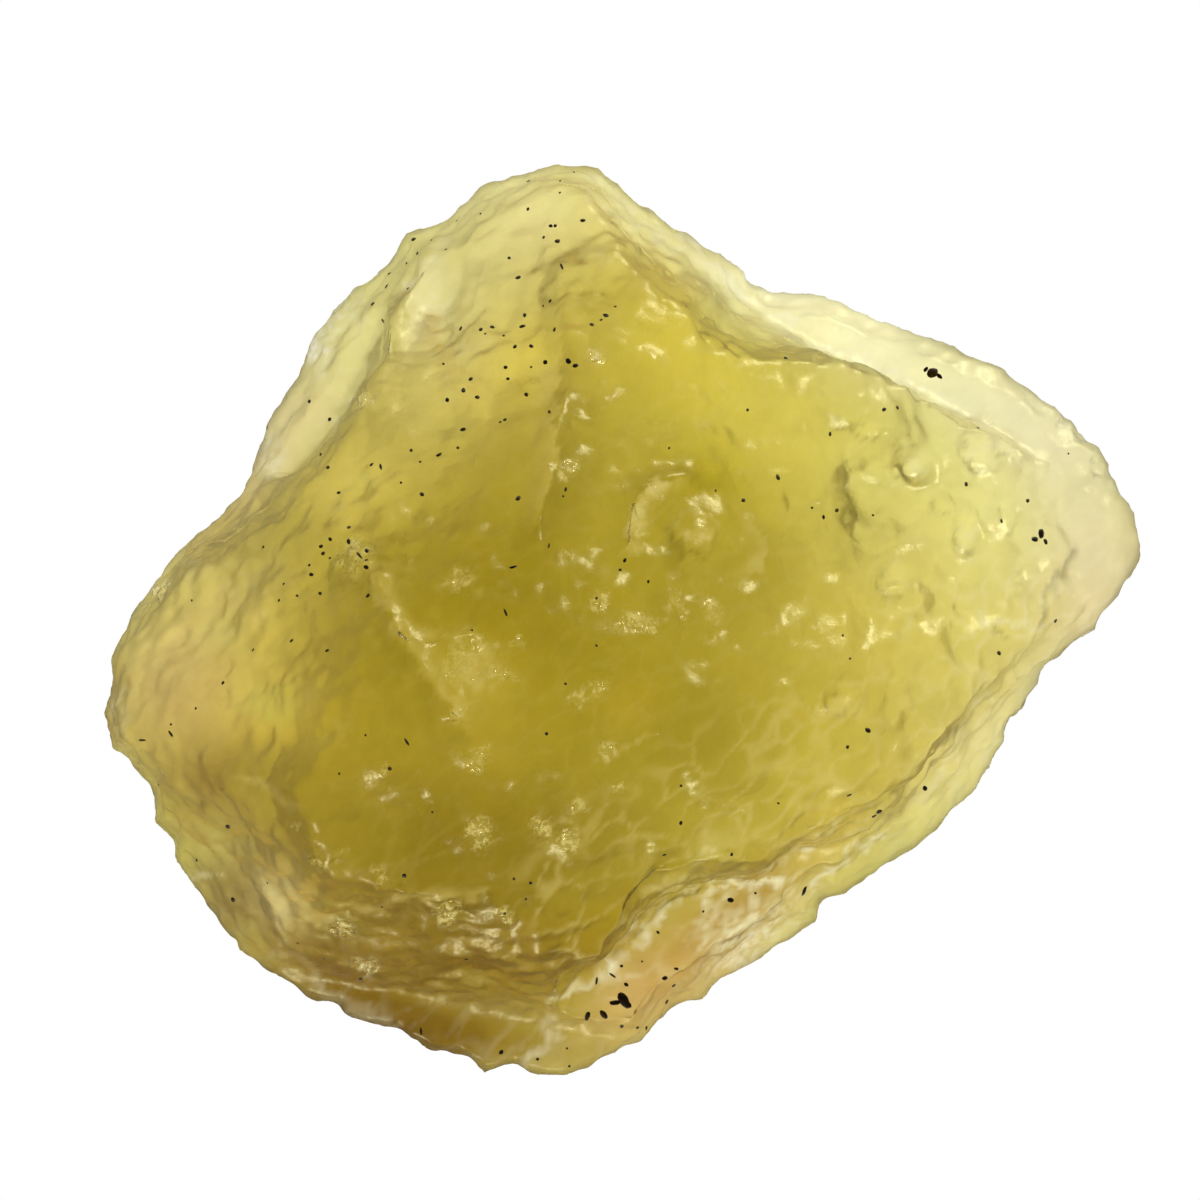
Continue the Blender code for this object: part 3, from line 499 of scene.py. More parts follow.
# Patches of the skin with another stain, and patches of painted light and painted shade: centre, length,
# width, turn in degrees, factors of red, green, blue
STAIN_LIGHT_AND_SHADE_PATCHES = [
    (16.5, 6.0, 16.0, 12.0, -20.0, (1.18, 1.22, 1.8)),
    (9.0, 13.6, 18.0, 4.0, -24.0, (1.36, 1.38, 2.6)),
    (20.5, 7.0, 9.0, 5.0, -50.0, (1.02, 1.0, 1.4)),
    (22.0, 1.0, 7.0, 6.0, 60.0, (1.04, 0.96, 1.5)),
    (-1.8, -1.0, 18.0, 13.0, 0.0, (0.84, 0.83, 0.62)),
    (-6.0, -14.6, 17.0, 7.0, -5.0, (0.60, 0.46, 0.15)),
    (0.5, -13.2, 7.0, 3.5, 40.0, (0.92, 0.86, 0.55)),
    (-9.5, -18.0, 14.0, 4.0, -26.0, (0.68, 0.56, 0.46)),
    (-21.6, -4.2, 5.0, 1.6, 80.0, (0.75, 0.68, 0.60)),
    (3.5, -15.4, 12.0, 4.5, 38.0, (1.02, 0.78, 0.80)),
    (-6.4, 11.5, 13.0, 8.0, 65.0, (1.40, 1.44, 3.0)),
    (-2.0, 18.0, 8.0, 5.0, 0.0, (1.24, 1.24, 1.6)),
    (3.0, 12.0, 10.0, 5.0, -55.0, (1.18, 1.16, 1.05)),
    (6.5, 9.0, 12.0, 7.0, -35.0, (1.18, 1.20, 1.22)),
    (-15.6, -0.5, 9.0, 12.0, 20.0, (1.30, 1.28, 2.1)),
    (-14.2, 8.0, 8.0, 3.4, 55.0, (1.12, 1.06, 1.75)),
    (-17.6, 3.8, 7.0, 2.6, 38.0, (0.84, 0.76, 0.58)),
    (-10.3, 5.5, 4.5, 3.5, 0.0, (1.34, 1.34, 1.6)),
    (-13.4, -3.8, 5.0, 3.5, 0.0, (1.22, 1.20, 1.3)),
    (-18.6, -3.6, 6.0, 6.0, 0.0, (1.16, 1.04, 1.7)),
    (-16.4, -6.6, 4.5, 3.0, 30.0, (0.74, 0.66, 0.62)),
    (-14.6, -10.6, 7.0, 4.5, -50.0, (1.04, 1.06, 1.9)),
    (13.0, -2.5, 16.0, 10.0, 38.0, (1.22, 1.20, 1.42)),
    (5.0, -5.0, 6.0, 6.0, 0.0, (0.86, 0.85, 0.74)),
    (7.2, 2.4, 3.5, 4.0, 0.0, (0.90, 0.88, 0.70)),
    (16.5, -5.5, 10.0, 4.0, 45.0, (1.12, 1.08, 1.5)),
    (-5.5, -9.4, 15.0, 7.0, -3.0, (0.66, 0.60, 0.44)),
    (-5.0, -2.8, 4.8, 5.0, 0.0, (1.32, 1.32, 1.9)),
    (-4.6, -6.4, 3.0, 3.0, 0.0, (1.14, 1.14, 1.2)),
    (1.4, -3.6, 2.6, 2.6, 0.0, (1.14, 1.08, 1.1)),
    (-6.0, -18.2, 10.0, 3.4, -8.0, (0.55, 0.42, 0.18)),
    (-16.4, -12.4, 3.0, 4.0, -40.0, (0.72, 0.64, 0.68)),
    (-11.5, -15.6, 8.0, 3.4, -35.0, (0.72, 0.60, 0.30)),
    (6.5, -12.4, 6.0, 2.6, 38.0, (0.72, 0.56, 0.12)),
    (-5.0, 1.5, 7.0, 9.0, 0.0, (0.94, 0.93, 0.75)),
    (4.5, 5.6, 4.0, 3.4, 0.0, (0.86, 0.84, 0.42)),
    (1.0, -16.2, 4.0, 3.0, 50.0, (1.16, 1.16, 1.9)),
    (-13.6, -3.8, 4.0, 3.0, 0.0, (1.16, 1.17, 1.2)),
    (-3.0, 11.0, 5.0, 4.5, 0.0, (1.15, 1.10, 0.85)),
    (10.1, -9.5, 4.0, 3.0, 38.0, (1.15, 1.08, 1.1)),
    (-16.2, -0.6, 4.0, 3.0, 0.0, (1.20, 1.16, 1.2)),
    (-13.4, -12.2, 2.6, 3.4, 0.0, (1.6, 1.7, 3.6)),
]


def smooth_step(value):
    """0 below 0, 1 above 1, and a smooth rise between."""
    share = np.clip(value, 0.0, 1.0)
    return share * share * (3.0 - 2.0 * share)


def soft_lowest(heights, softness):
    """The lowest of several heights, with the creases between them rounded."""
    stack = np.array(heights)
    lowest = stack.min(axis=0)
    return lowest - softness * np.log(np.exp((lowest - stack) / softness).sum(axis=0))


def soft_highest(heights, softness):
    """The highest of several heights, with the creases between them rounded."""
    return -soft_lowest([-height for height in heights], softness)


def face_height(face, x, y):
    """Height over (x, y) of one broad face."""
    at_x, at_y, at_z, falls_to, tilt = face
    way = math.radians(falls_to)
    along = (x - at_x) * math.cos(way) + (y - at_y) * math.sin(way)
    return at_z - math.tan(math.radians(tilt)) * along


def line_distance(points, x, y):
    """Distance to a line of straight stretches, positive on its left."""
    nearest = np.full(x.shape, np.inf)
    side = np.ones(x.shape)
    for (x0, y0), (x1, y1) in zip(points[:-1], points[1:]):
        run_x, run_y = x1 - x0, y1 - y0
        along = ((x - x0) * run_x + (y - y0) * run_y) / (run_x**2 + run_y**2)
        share = np.clip(along, 0.0, 1.0)
        away = np.hypot(x - x0 - share * run_x, y - y0 - share * run_y)
        closer = away < nearest
        nearest = np.where(closer, away, nearest)
        side = np.where(closer, np.sign(run_x * (y - y0) - run_y * (x - x0)), side)
    return nearest * side


def edge_distance(x, y):
    """Distance inward from the edge of the lump."""
    return np.maximum(line_distance(OUTLINE + OUTLINE[:1], x, y), 0.0)


def edge_radius(angle):
    """Distance from the origin to the edge in each direction."""
    corners = np.array(OUTLINE)
    angles = np.arctan2(corners[:, 1], corners[:, 0])
    order = np.argsort(angles)
    radii = np.hypot(corners[:, 0], corners[:, 1])
    return np.interp(angle, angles[order], radii[order], period=2.0 * math.pi)


def rim_at(angle):
    """Lift of the rim above the underside's faces, its bluntness and the steepness above it, by direction."""
    table = np.array(RIM)
    ways = np.radians(table[:, 0])
    lift, bluntness, steepness = [
        np.interp(angle, ways, column, period=2.0 * math.pi) for column in table[:, 1:].T
    ]
    for count, phase, reach in RIM_WAVES:
        lift = lift + reach * np.sin(count * angle + phase)
    return lift, bluntness, steepness


def oval_reach(oval, x, y):
    """How far out a point lies in an oval, squared: 1 at its edge."""
    at_x, at_y, length, width, turn = oval
    way = math.radians(turn)
    along = (x - at_x) * math.cos(way) + (y - at_y) * math.sin(way)
    across = (y - at_y) * math.cos(way) - (x - at_x) * math.sin(way)
    return (2.0 * along / length) ** 2 + (2.0 * across / width) ** 2


def lump_height(lumps, x, y):
    """Sum of the rounded lumps and hollows over (x, y)."""
    total = np.zeros(x.shape)
    for *oval, height in lumps:
        total += height * np.exp(-LUMP_FALLOFF * oval_reach(oval, x, y))
    return total


def ridge_height(x, y):
    """Sum of the narrow ridges over (x, y)."""
    total = np.zeros(x.shape)
    for line, half_width, height in RIDGES.values():
        away = np.abs(line_distance(line, x, y))
        total += height * np.maximum(1.0 - away / half_width, 0.0)
    return total


def bevel(inward, bluntness, steepness):
    """Rise from the rim: upright and rounded at the rim itself, then a slope that steepens inward."""
    return steepness * np.sqrt(inward**2 + 2.0 * bluntness * inward) + BEVEL_GROWTH * inward**2


def under_faces(x, y):
    """Height of the faces of the underside."""
    return soft_highest([face_height(face, x, y) for face in LOWER_FACES.values()], FACE_SOFTNESS)


def rim_height(angle):
    """Height of the rim itself in each direction."""
    radius = edge_radius(angle)
    return rim_at(angle)[0] + under_faces(radius * np.cos(angle), radius * np.sin(angle))


def lower_height(x, y):
    """Height of the underside, before its relief."""
    angle = np.arctan2(y, x)
    fall = bevel(edge_distance(x, y), rim_at(angle)[1], RIM_UNDERCUT)
    carved = under_faces(x, y) + lump_height(LOWER_LUMPS, x, y)
    rim = rim_height(angle)
    most = rim - LEAST_BEVEL * np.minimum(fall, LEAST_REACH)
    return np.minimum(soft_highest([carved, rim - fall], BEVEL_SOFTNESS), most)


def upper_height(x, y):
    """Height of the upper side, before its relief."""
    angle = np.arctan2(y, x)
    _, bluntness, steepness = rim_at(angle)
    rise = bevel(edge_distance(x, y), bluntness, steepness)
    faces = soft_lowest([face_height(face, x, y) for face in UPPER_FACES.values()], FACE_SOFTNESS)
    height = faces + lump_height(UPPER_LUMPS, x, y) + ridge_height(x, y)
    underside = lower_height(x, y)
    for crest, glass_left, riser in LEDGES.values():
        behind = np.maximum(line_distance(crest, x, y), 0.0)
        height = soft_lowest([height, underside + glass_left + riser * behind], BEVEL_SOFTNESS)
    rim = rim_height(angle)
    least = rim + LEAST_BEVEL * np.minimum(rise, LEAST_REACH)
    return np.maximum(soft_lowest([height, rim + rise], BEVEL_SOFTNESS), least)


def glass_points(directions):
    """Moves a unit sphere's points onto the lump: its upper half to the upper side, the rest below."""
    angle = np.arctan2(directions[:, 1], directions[:, 0])
    upright = np.clip(np.abs(directions[:, 2]), 0.0, 1.0)
    outward = np.arccos(upright) / (math.pi / 2.0)
    radius = edge_radius(angle) * (1.0 - (1.0 - outward) ** RIM_CROWDING)
    x = radius * np.cos(angle)
    y = radius * np.sin(angle)
    height = np.where(directions[:, 2] >= 0.0, upper_height(x, y), lower_height(x, y))
    return np.column_stack([x, y, height])


def scoops(point, shape, turn):
    """How deep a point lies in a field of touching scoops, and how near a crest between two of them."""
    size, stretch, _ = shape
    way = math.radians(turn)
    along = (point.x * math.cos(way) + point.y * math.sin(way)) / (size * stretch)
    across = (point.y * math.cos(way) - point.x * math.sin(way)) / size
    near = noise.voronoi(Vector((along, across, point.z / size)))[0]
    inside = 1.0 - min(near[0] / SCOOP_RADIUS, 1.0) ** 2
    return inside, near[1] - near[0]


def field_share(x, y):
    """How far a point is inside the scalloped field: 1 along its middle, 0 outside."""
    start, end, reach = SCALLOP_FIELD
    away = np.abs(line_distance([start, end], x, y))
    return 1.0 - smooth_step((away - 0.5 * reach) / (0.5 * reach))


def mesh_array(items, name, width):
    """One property of all of a mesh's items, as a numpy array."""
    values = np.empty(len(items) * width, np.float32)
    items.foreach_get(name, values)
    return values.reshape(-1, width).astype(np.float64)


def ripples(x, y, size, phase):
    """A soft irregular pattern between about -1 and 1, whose patches are size across."""
    fineness, offset, amount = RIPPLE_BEND
    total = np.zeros(x.shape)
    for step in range(RIPPLE_WAVES):
        way = RIPPLE_TURN * step + phase
        stretch = (1.0 + RIPPLE_SHORTENING * step) * 2.0 * math.pi / (RIPPLE_LENGTH * size)
        bend = np.sin((x * math.sin(way) - y * math.cos(way)) * stretch * fineness + offset * step)
        total += np.sin((x * math.cos(way) + y * math.sin(way)) * stretch + amount * bend + phase * step)
    return total / RIPPLE_DAMPING


def pushed(x, y, waves):
    """A place pushed about by ripples, which gives what is drawn there an irregular edge."""
    pushed_x = x + sum(reach * ripples(x, y, size, phase) for reach, size, phase in waves)
    pushed_y = y + sum(reach * ripples(x, y, size, phase + PHASE_ACROSS) for reach, size, phase in waves)
    return pushed_x, pushed_y


def plain_glass():
    """The lump with its faces, ledges and ridges but none of its fine relief, in millimetres."""
    bpy.ops.mesh.primitive_ico_sphere_add(subdivisions=SPHERE_SUBDIVISIONS, radius=1.0)
    glass = bpy.context.object
    glass.name = "desert_glass_lump"
    mesh = glass.data
    points = glass_points(mesh_array(mesh.vertices, "co", 3))
    mesh.vertices.foreach_set("co", points.ravel())
    evened = glass.modifiers.new("evened", "REMESH")
    evened.mode = "VOXEL"
    evened.voxel_size = POINT_SPACING
    smoothed = glass.modifiers.new("smoothed", "SMOOTH")
    smoothed.factor, smoothed.iterations = SMOOTHING
    for modifier in list(glass.modifiers):
        bpy.ops.object.modifier_apply(modifier=modifier.name)
    return glass


def carve(glass):
    """Carves the worn relief; gives how deep in a scallop and how near a crest each point is."""
    mesh = glass.data
    points = mesh_array(mesh.vertices, "co", 3)
    normals = mesh_array(mesh.vertex_normals, "vector", 3)
    x, y = points[:, 0], points[:, 1]
    upper = normals[:, 2] > 0.0
    from_rim = edge_distance(x, y)
    clear = np.where(upper, 1.0, smooth_step((np.hypot(x, y) - FLAT_SPOT_REACH) / FLAT_SPOT_FADE))
    scalloped = np.maximum(SCALLOPS_ELSEWHERE, field_share(x, y) * upper)
    pitted = 1.0 - (1.0 - PITTED_RIM[1]) * smooth_step(from_rim / PITTED_RIM[0])
    calm = CALM_RIM[1] + (1.0 - CALM_RIM[1]) * smooth_step(from_rim / CALM_RIM[0])
    glittering = glitter_share(x, y) * upper
    carved = np.empty(len(points))
    hollow = np.empty(len(points))
    crest = np.empty(len(points))
    for index, place in enumerate(points):
        point = Vector(place)
        dimple, _ = scoops(point, DIMPLES, 0.0)
        pit, _ = scoops(point, PITS, WIND_TURN)
        bent = point + SCALLOP_WARP[0] * noise.noise_vector(point / SCALLOP_WARP[1])
        scallop, between = scoops(bent, SCALLOPS, WIND_TURN)
        kept = CREST_KEPT[0] + CREST_KEPT[1] * noise.noise(point / CREST_KEPT[2])
        uneven = sum(depth * noise.fractal(point / size, *UNEVEN_STEPS) for size, depth in UNEVENNESS)
        depth = scalloped[index] * SCALLOPS[2] * scallop + pitted[index] * PITS[2] * pit
        depth += calm[index] * (DIMPLES[2] * dimple + uneven)
        if glittering[index] > LEAST_GLITTER:
            depth += glittering[index] * GLITTER_RELIEF[1] * noise.noise(point / GLITTER_RELIEF[0])
        carved[index] = clear[index] * depth
        hollow[index] = scalloped[index] * scallop
        crest[index] = scalloped[index] * min(max(kept, 0.0), 1.0) * max(1.0 - between / CREST_WIDTH, 0.0)
    carved += np.where(upper, dish_depth(x, y), 0.0)
    points -= normals * carved[:, None]
    points[:, 2] = np.maximum(points[:, 2], 0.0)
    mesh.vertices.foreach_set("co", (points * MM).ravel())
    mesh.update()
    return hollow, crest


def dish_reach(dish, x, y):
    """How far out a point lies in a dish, 1 at its edge, and on which side, 1 at its shaded side."""
    from_x, from_y = x - dish[0], y - dish[1]
    towards = from_x * math.cos(DISH_SHADE) + from_y * math.sin(DISH_SHADE)
    return np.sqrt(oval_reach(dish[:5], x, y)), towards / np.maximum(np.hypot(from_x, from_y), LEAST_LENGTH)


def dish_depth(x, y):
    """Depth of the oval dishes, each with a slightly raised lip."""
    lip_reach, lip_width, lip_share = DISH_LIP
    total = np.zeros(x.shape)
    for dish in DISHES:
        reach, _ = dish_reach(dish, x, y)
        bowl = np.maximum(1.0 - reach**2, 0.0) ** 1.5
        lip = np.exp(-(((reach - lip_reach) / lip_width) ** 2))
        total += dish[5] * (bowl - lip_share * lip)
    return total


def dish_light_and_shade(x, y):
    """Painted shade along the outline of each dish, strongest on its shaded side, and painted light in its
    paler inside.
    """
    line_reach, line_width, plain, shaded = DISH_SHADED_OUTLINE
    shaded_outlines = np.zeros(x.shape)
    lit_insides = np.zeros(x.shape)
    for dish in DISHES:
        reach, towards = dish_reach(dish, x, y)
        edge = np.exp(-(((reach - line_reach) / line_width) ** 2))
        shaded_outlines = np.maximum(shaded_outlines, edge * (plain + shaded * towards))
        lit_insides = np.maximum(lit_insides, np.maximum(1.0 - reach, 0.0))
    return shaded_outlines, lit_insides


def line_glow(lines, x, y):
    """Strength at (x, y) of lines that fade to either side."""
    total = np.zeros(x.shape)
    for points, left_fade, right_fade, strength in lines.values():
        side = line_distance(points, x, y)
        share = np.abs(side) / np.where(side > 0.0, left_fade, right_fade)
        total = np.maximum(total, strength * (1.0 - smooth_step(share)))
    return total


def spot_glow(spots, x, y):
    """Strength at (x, y) of soft spots."""
    total = np.zeros(x.shape)
    for *oval, strength in spots:
        total = np.maximum(total, strength * np.exp(-oval_reach(oval, x, y)))
    return total


def glitter_share(x, y):
    """Strength at (x, y) of the rough places that glitter."""
    spots = []
    for at_x, at_y, reach in GLITTER_SPOTS:
        across = GLITTER_SPREAD * reach
        spots.append((at_x, at_y, across, across, 0.0, 1.0))
    return np.minimum(GLITTER_STRENGTH * spot_glow(spots, *pushed(x, y, GLITTER_BEND)), 1.0)


def mottling(x, y):
    """Slow changes of the skin's tone at (x, y)."""
    swing, size, phase = BROAD_MOTTLE
    broad = swing * ripples(x, y, size, phase)
    swing, size, phase = FINE_MOTTLE
    return broad + swing * ripples(*pushed(x, y, STRONG_BEND), size, phase)


def drawn_marks(x, y, top, hollow, crest):
    """Strength at (x, y) of the marks that wear the skin and paint highlights on it, and of those that paint
    shade on it and, inside dishes, light, by name.
    """
    slight = pushed(x, y, SLIGHT_BEND)
    strong = pushed(x, y, STRONG_BEND)
    share, swing, size, phase = BROKEN_LINES
    broken = share + swing * ripples(x, y, size, phase)
    share, swing, size, phase = SPOT_FLECKS
    flecks = smooth_step(swing * ripples(*strong, size, phase) + share)
    shaded_outlines, lit_insides = dish_light_and_shade(*slight)
    wear_and_highlights = {
        "crests": top * crest,
        "lines": top * broken * line_glow(GLOW_LINES, *slight),
        "spots": top * spot_glow(GLOW_SPOTS, *strong) * (LEAST_FLECK + (1.0 - LEAST_FLECK) * flecks),
        "glitter": top * glitter_share(x, y),
    }
    painted_shade = {
        "hollows": hollow,
        "lines": top * line_glow(SHADE_LINES, *slight),
        "dish_shade_outlines": top * shaded_outlines,
        "dish_lit_insides": top * lit_insides,
    }
    return wear_and_highlights, painted_shade


def weighed(marks, weights):
    """Sum of the marks that have a weight, each by its weight."""
    return sum(weight * marks[name] for name, weight in weights.items())


def blended(tint, other, share):
    """Each point's tint, blended by its share with another tint."""
    return tint + share[:, None] * (np.array(other) - tint)


def stain_light_and_shade(x, y):
    """Tint of the skin at (x, y): its stain, with patches of other stain, painted light and painted shade."""
    tint = np.tile(SKIN_TINT, (len(x), 1))
    for *oval, factors in STAIN_LIGHT_AND_SHADE_PATCHES:
        share = np.exp(-oval_reach(oval, x, y))[:, None]
        tint *= 1.0 + share * (np.array(factors) - 1.0)
    return tint


def store(mesh, name, values):
    """Keeps a value or a colour for each of the mesh's points, where its material finds it by name."""
    if values.ndim == 1:
        mesh.attributes.new(name, "FLOAT", "POINT").data.foreach_set("value", values)
    else:
        mesh.attributes.new(name, "FLOAT_COLOR", "POINT").data.foreach_set("color", values.ravel())


def paint(glass, hollow, crest):
    """Stores each point's tint, with its painted light and shade, and how frosted, glittering and matt the
    skin is there.
    """
    mesh = glass.data
    points = mesh_array(mesh.vertices, "co", 3) / MM
    upward = mesh_array(mesh.vertex_normals, "vector", 3)[:, 2]
    x, y = points[:, 0], points[:, 1]
    from_rim = edge_distance(x, y)
    top = smooth_step((upward - UPPER_LEAN[0]) / UPPER_LEAN[1])
    under = 1.0 - smooth_step((upward - UNDER_LEAN[0]) / UNDER_LEAN[1])
    wear_and_highlights, painted_shade = drawn_marks(x, y, top, hollow, crest)
    # Slow random tone, less painted shade in hollows, along shade lines and round dishes; painted light in
    # dishes
    tone = 1.0 + mottling(x, y) - weighed(painted_shade, PAINTED_SHADE)
    # Painted shade along the very edge
    tone *= 1.0 - EDGE_SHADE * (1.0 - smooth_step(from_rim / EDGE_WIDTH))
    tint = stain_light_and_shade(x, y) * tone[:, None]
    # Worn skin and painted highlights on crests, lines, spots and glittering places lighten the tint
    tint = blended(tint, WORN_AND_HIGHLIGHT_TINT, np.clip(weighed(wear_and_highlights, WEAR_AND_HIGHLIGHT), 0.0, 1.0))
    tint = blended(tint, UNDERSIDE_TINT, under)
    near_rim = 1.0 - smooth_step((from_rim - MATT_RIM[0]) / MATT_RIM[1])
    # The shader takes the root of its colour where light passes a surface, so the tint is kept as its square
    store(mesh, "tint", np.column_stack([np.clip(tint, 0.0, 1.0) ** 2, np.ones(len(x))]))
    store(mesh, "frost", np.clip(weighed(wear_and_highlights, FROST), 0.0, 1.0))
    store(mesh, "glitter", wear_and_highlights["glitter"])
    store(mesh, "matt", near_rim * np.where(upward < MATT_LEAN, 1.0, MATT_ABOVE))


def feed(tree, socket, value):
    """Sets a node's input to a value, or links it to another node's output."""
    if isinstance(value, bpy.types.NodeSocket):
        tree.links.new(value, socket)
    else:
        socket.default_value = value


def add_node(tree, kind, **settings):
    """A shader node with its settings, which are properties or inputs."""
    node = tree.nodes.new(kind)
    for name, value in settings.items():
        if hasattr(node, name):
            setattr(node, name, value)
        else:
            feed(tree, node.inputs[name.replace("_", " ")], value)
    return node


def add_sum(tree, operation, *values, kind="ShaderNodeMath"):
    """The outcome of a sum with values that are numbers or other nodes' outputs."""
    node = add_node(tree, kind, operation=operation)
    for socket, value in zip(node.inputs, values):
        feed(tree, socket, value)
    return node.outputs["Value"]


def stored(tree, name):
    """A value that the mesh keeps for each of its points."""
    return add_node(tree, "ShaderNodeAttribute", attribute_name=name).outputs["Fac"]


def noise_pattern(tree, pattern):
    """Noise that is fixed to the object, between 0 and 1."""
    scale, detail, roughness = pattern
    place = tree.nodes.new("ShaderNodeTexCoord").outputs["Object"]
    settings = {"Vector": place, "Scale": scale, "Detail": detail, "Roughness": roughness}
    return add_node(tree, "ShaderNodeTexNoise", **settings).outputs["Fac"]


def ranged(tree, value, to_range, from_range=(0.0, 1.0)):
    """A value moved from one range to another, and held within it."""
    settings = {"From_Min": from_range[0], "From_Max": from_range[1]}
    settings |= {"To_Min": to_range[0], "To_Max": to_range[1]}
    return add_node(tree, "ShaderNodeMapRange", Value=value, **settings).outputs["Result"]


def add_material(name):
    """A new material, its node tree and its surface shader."""
    material = bpy.data.materials.new(name)
    material.use_nodes = True
    return material, material.node_tree, material.node_tree.nodes["Principled BSDF"]


def glass_colour(tree):
    """The stored tint, finely mottled, with painted glints as bright flecks in the glittering places."""
    tint = add_node(tree, "ShaderNodeAttribute", attribute_name="tint").outputs["Color"]
    clouds = ranged(tree, noise_pattern(tree, CLOUDS), CLOUD_RANGE)
    mottled = add_node(tree, "ShaderNodeMix", data_type="RGBA", blend_type="MULTIPLY", Factor=1.0, A=tint)
    feed(tree, mottled.inputs["B"], clouds)
    glint_flecks = ranged(tree, noise_pattern(tree, GLINT_FLAKES), (0.0, 1.0), GLINT_FLAKE_RANGE)
    share = add_sum(tree, "MULTIPLY", glint_flecks, stored(tree, "glitter"))
    colour = add_node(tree, "ShaderNodeMix", data_type="RGBA", Factor=share, B=GLINT_FLAKE_TINT)
    feed(tree, colour.inputs["A"], mottled.outputs["Result"])
    return colour.outputs["Result"]


def glass_roughness(tree, grain):
    """A satin skin, matt round the rim and smoother where it glitters."""
    satin = ranged(tree, grain, SATIN_RANGE)
    matt = add_sum(tree, "MULTIPLY_ADD", stored(tree, "matt"), MATT_ROUGHNESS, satin)
    return add_sum(tree, "MULTIPLY", matt, ranged(tree, stored(tree, "glitter"), (1.0, POLISHED)))


def glass_bump(tree, grain):
    """Fine grain all over the skin, and chips where it glitters."""
    chips = add_node(tree, "ShaderNodeBump", Strength=stored(tree, "glitter"), Distance=CHIP_DEPTH * MM)
    feed(tree, chips.inputs["Height"], noise_pattern(tree, CHIPS))
    bump = add_node(tree, "ShaderNodeBump", Strength=SKIN_GRAIN_STRENGTH, Distance=SKIN_GRAIN_DEPTH * MM)
    feed(tree, bump.inputs["Height"], grain)
    feed(tree, bump.inputs["Normal"], chips.outputs["Normal"])
    return bump.outputs["Normal"]


def glass_material():
    """Clear yellow-green glass with a satin, worn skin, painted light and shade, frosted lines and
    glittering places.
    """
    material, tree, surface = add_material("desert_glass")
    grain = noise_pattern(tree, SKIN_GRAIN)
    looks = {
        "Base Color": glass_colour(tree),
        "Transmission Weight": ranged(tree, stored(tree, "frost"), (1.0, FROSTED_CLEARNESS)),
        "Roughness": glass_roughness(tree, grain),
        "Normal": glass_bump(tree, grain),
        "IOR": GLASS_IOR,
        "Specular Tint": SPECULAR_TINT,
    }
    for name, value in looks.items():
        feed(tree, surface.inputs[name], value)
    volume = add_node(tree, "ShaderNodeVolumeAbsorption", Color=GLASS_ABSORPTION, Density=GLASS_DENSITY)
    feed(tree, tree.nodes["Material Output"].inputs["Volume"], volume.outputs["Volume"])
    return material


def grain_material():
    """Dark brown to black mineral grains, slightly glossy."""
    material, tree, surface = add_material("dark_grain")
    ramp = add_node(tree, "ShaderNodeValToRGB", Fac=noise_pattern(tree, GRAIN_PATCHES))
    for stop, (place, colour) in zip(ramp.color_ramp.elements, GRAIN_COLOURS):
        stop.position = place
        stop.color = colour
    feed(tree, surface.inputs["Base Color"], ramp.outputs["Color"])
    surface.inputs["Roughness"].default_value = GRAIN_ROUGHNESS
    return material


def grain_form():
    """Points and faces of one rounded grain of radius 1."""
    bpy.ops.mesh.primitive_ico_sphere_add(subdivisions=2, radius=1.0)
    ball = bpy.context.object
    points = mesh_array(ball.data.vertices, "co", 3)
    faces = [tuple(polygon.vertices) for polygon in ball.data.polygons]
    bpy.data.objects.remove(ball, do_unlink=True)
    return points, faces


def grain_choices():
    """Place, width, stretch and turn in degrees of each dark grain."""
    luck = random.Random(GRAIN_SEED)
    grains = []
    for places, *ranges in [(GRAINS_ROUND, *ROUND_RANGES), (GRAINS_LARGE, *LARGE_RANGES)]:
        grains += [(x, y, *[luck.uniform(*limits) for limits in ranges]) for x, y in places]
    grains += [(x, y, *LONG_SHAPE, turn) for x, y, turn in GRAINS_LONG]
    return grains + INCLUSIONS


def grain_points(form, x, y, width, stretch, turn):
    """Points of one grain, lying flat round the origin, in millimetres."""
    lumpiness, fineness = GRAIN_LUMPS
    way = math.radians(turn)
    points = []
    for point in form:
        lumpy = 1.0 + lumpiness * noise.noise(Vector(point) * fineness + Vector((x, y, 0.0)))
        along = point[0] * stretch * width / 2.0 * lumpy
        across = point[1] * width / 2.0 * lumpy
        up = point[2] * width / 2.0 / GRAIN_FLATNESS
        points.append(Vector((along * math.cos(way) - across * math.sin(way),
                              along * math.sin(way) + across * math.cos(way), up)))
    return points


def add_grains(glass):
    """Dark grains set into the surface of the upper side, as one piece."""
    form, form_faces = grain_form()
    downward = Vector((0.0, 0.0, -1.0))
    points = []
    faces = []
    for x, y, *shape in grain_choices():
        hit, place, normal, _ = glass.ray_cast(Vector((x, y, WELL_ABOVE)) * MM, downward)
        if not hit:
            continue
        flat_on_glass = normal.to_track_quat("Z", "Y").to_matrix()
        start = len(points)
        points += [place + flat_on_glass @ point * MM for point in grain_points(form, x, y, *shape)]
        faces += [tuple(start + corner for corner in face) for face in form_faces]
    mesh = bpy.data.meshes.new("dark_grains")
    mesh.from_pydata(points, [], faces)
    mesh.shade_smooth()
    mesh.materials.append(grain_material())
    return link_object("dark_grains", mesh)


def link_object(name, data):
    """A new object in the scene."""
    item = bpy.data.objects.new(name, data)
    bpy.context.scene.collection.objects.link(item)
    return item


def seen_by_camera(tree, elsewhere, seen, output):
    """Gives the camera one shader to see, and all other rays another."""
    path = tree.nodes.new("ShaderNodeLightPath")
    mix = add_node(tree, "ShaderNodeMixShader", Fac=path.outputs["Is Camera Ray"])
    feed(tree, mix.inputs[1], elsewhere)
    feed(tree, mix.inputs[2], seen)
    feed(tree, output.inputs["Surface"], mix.outputs["Shader"])


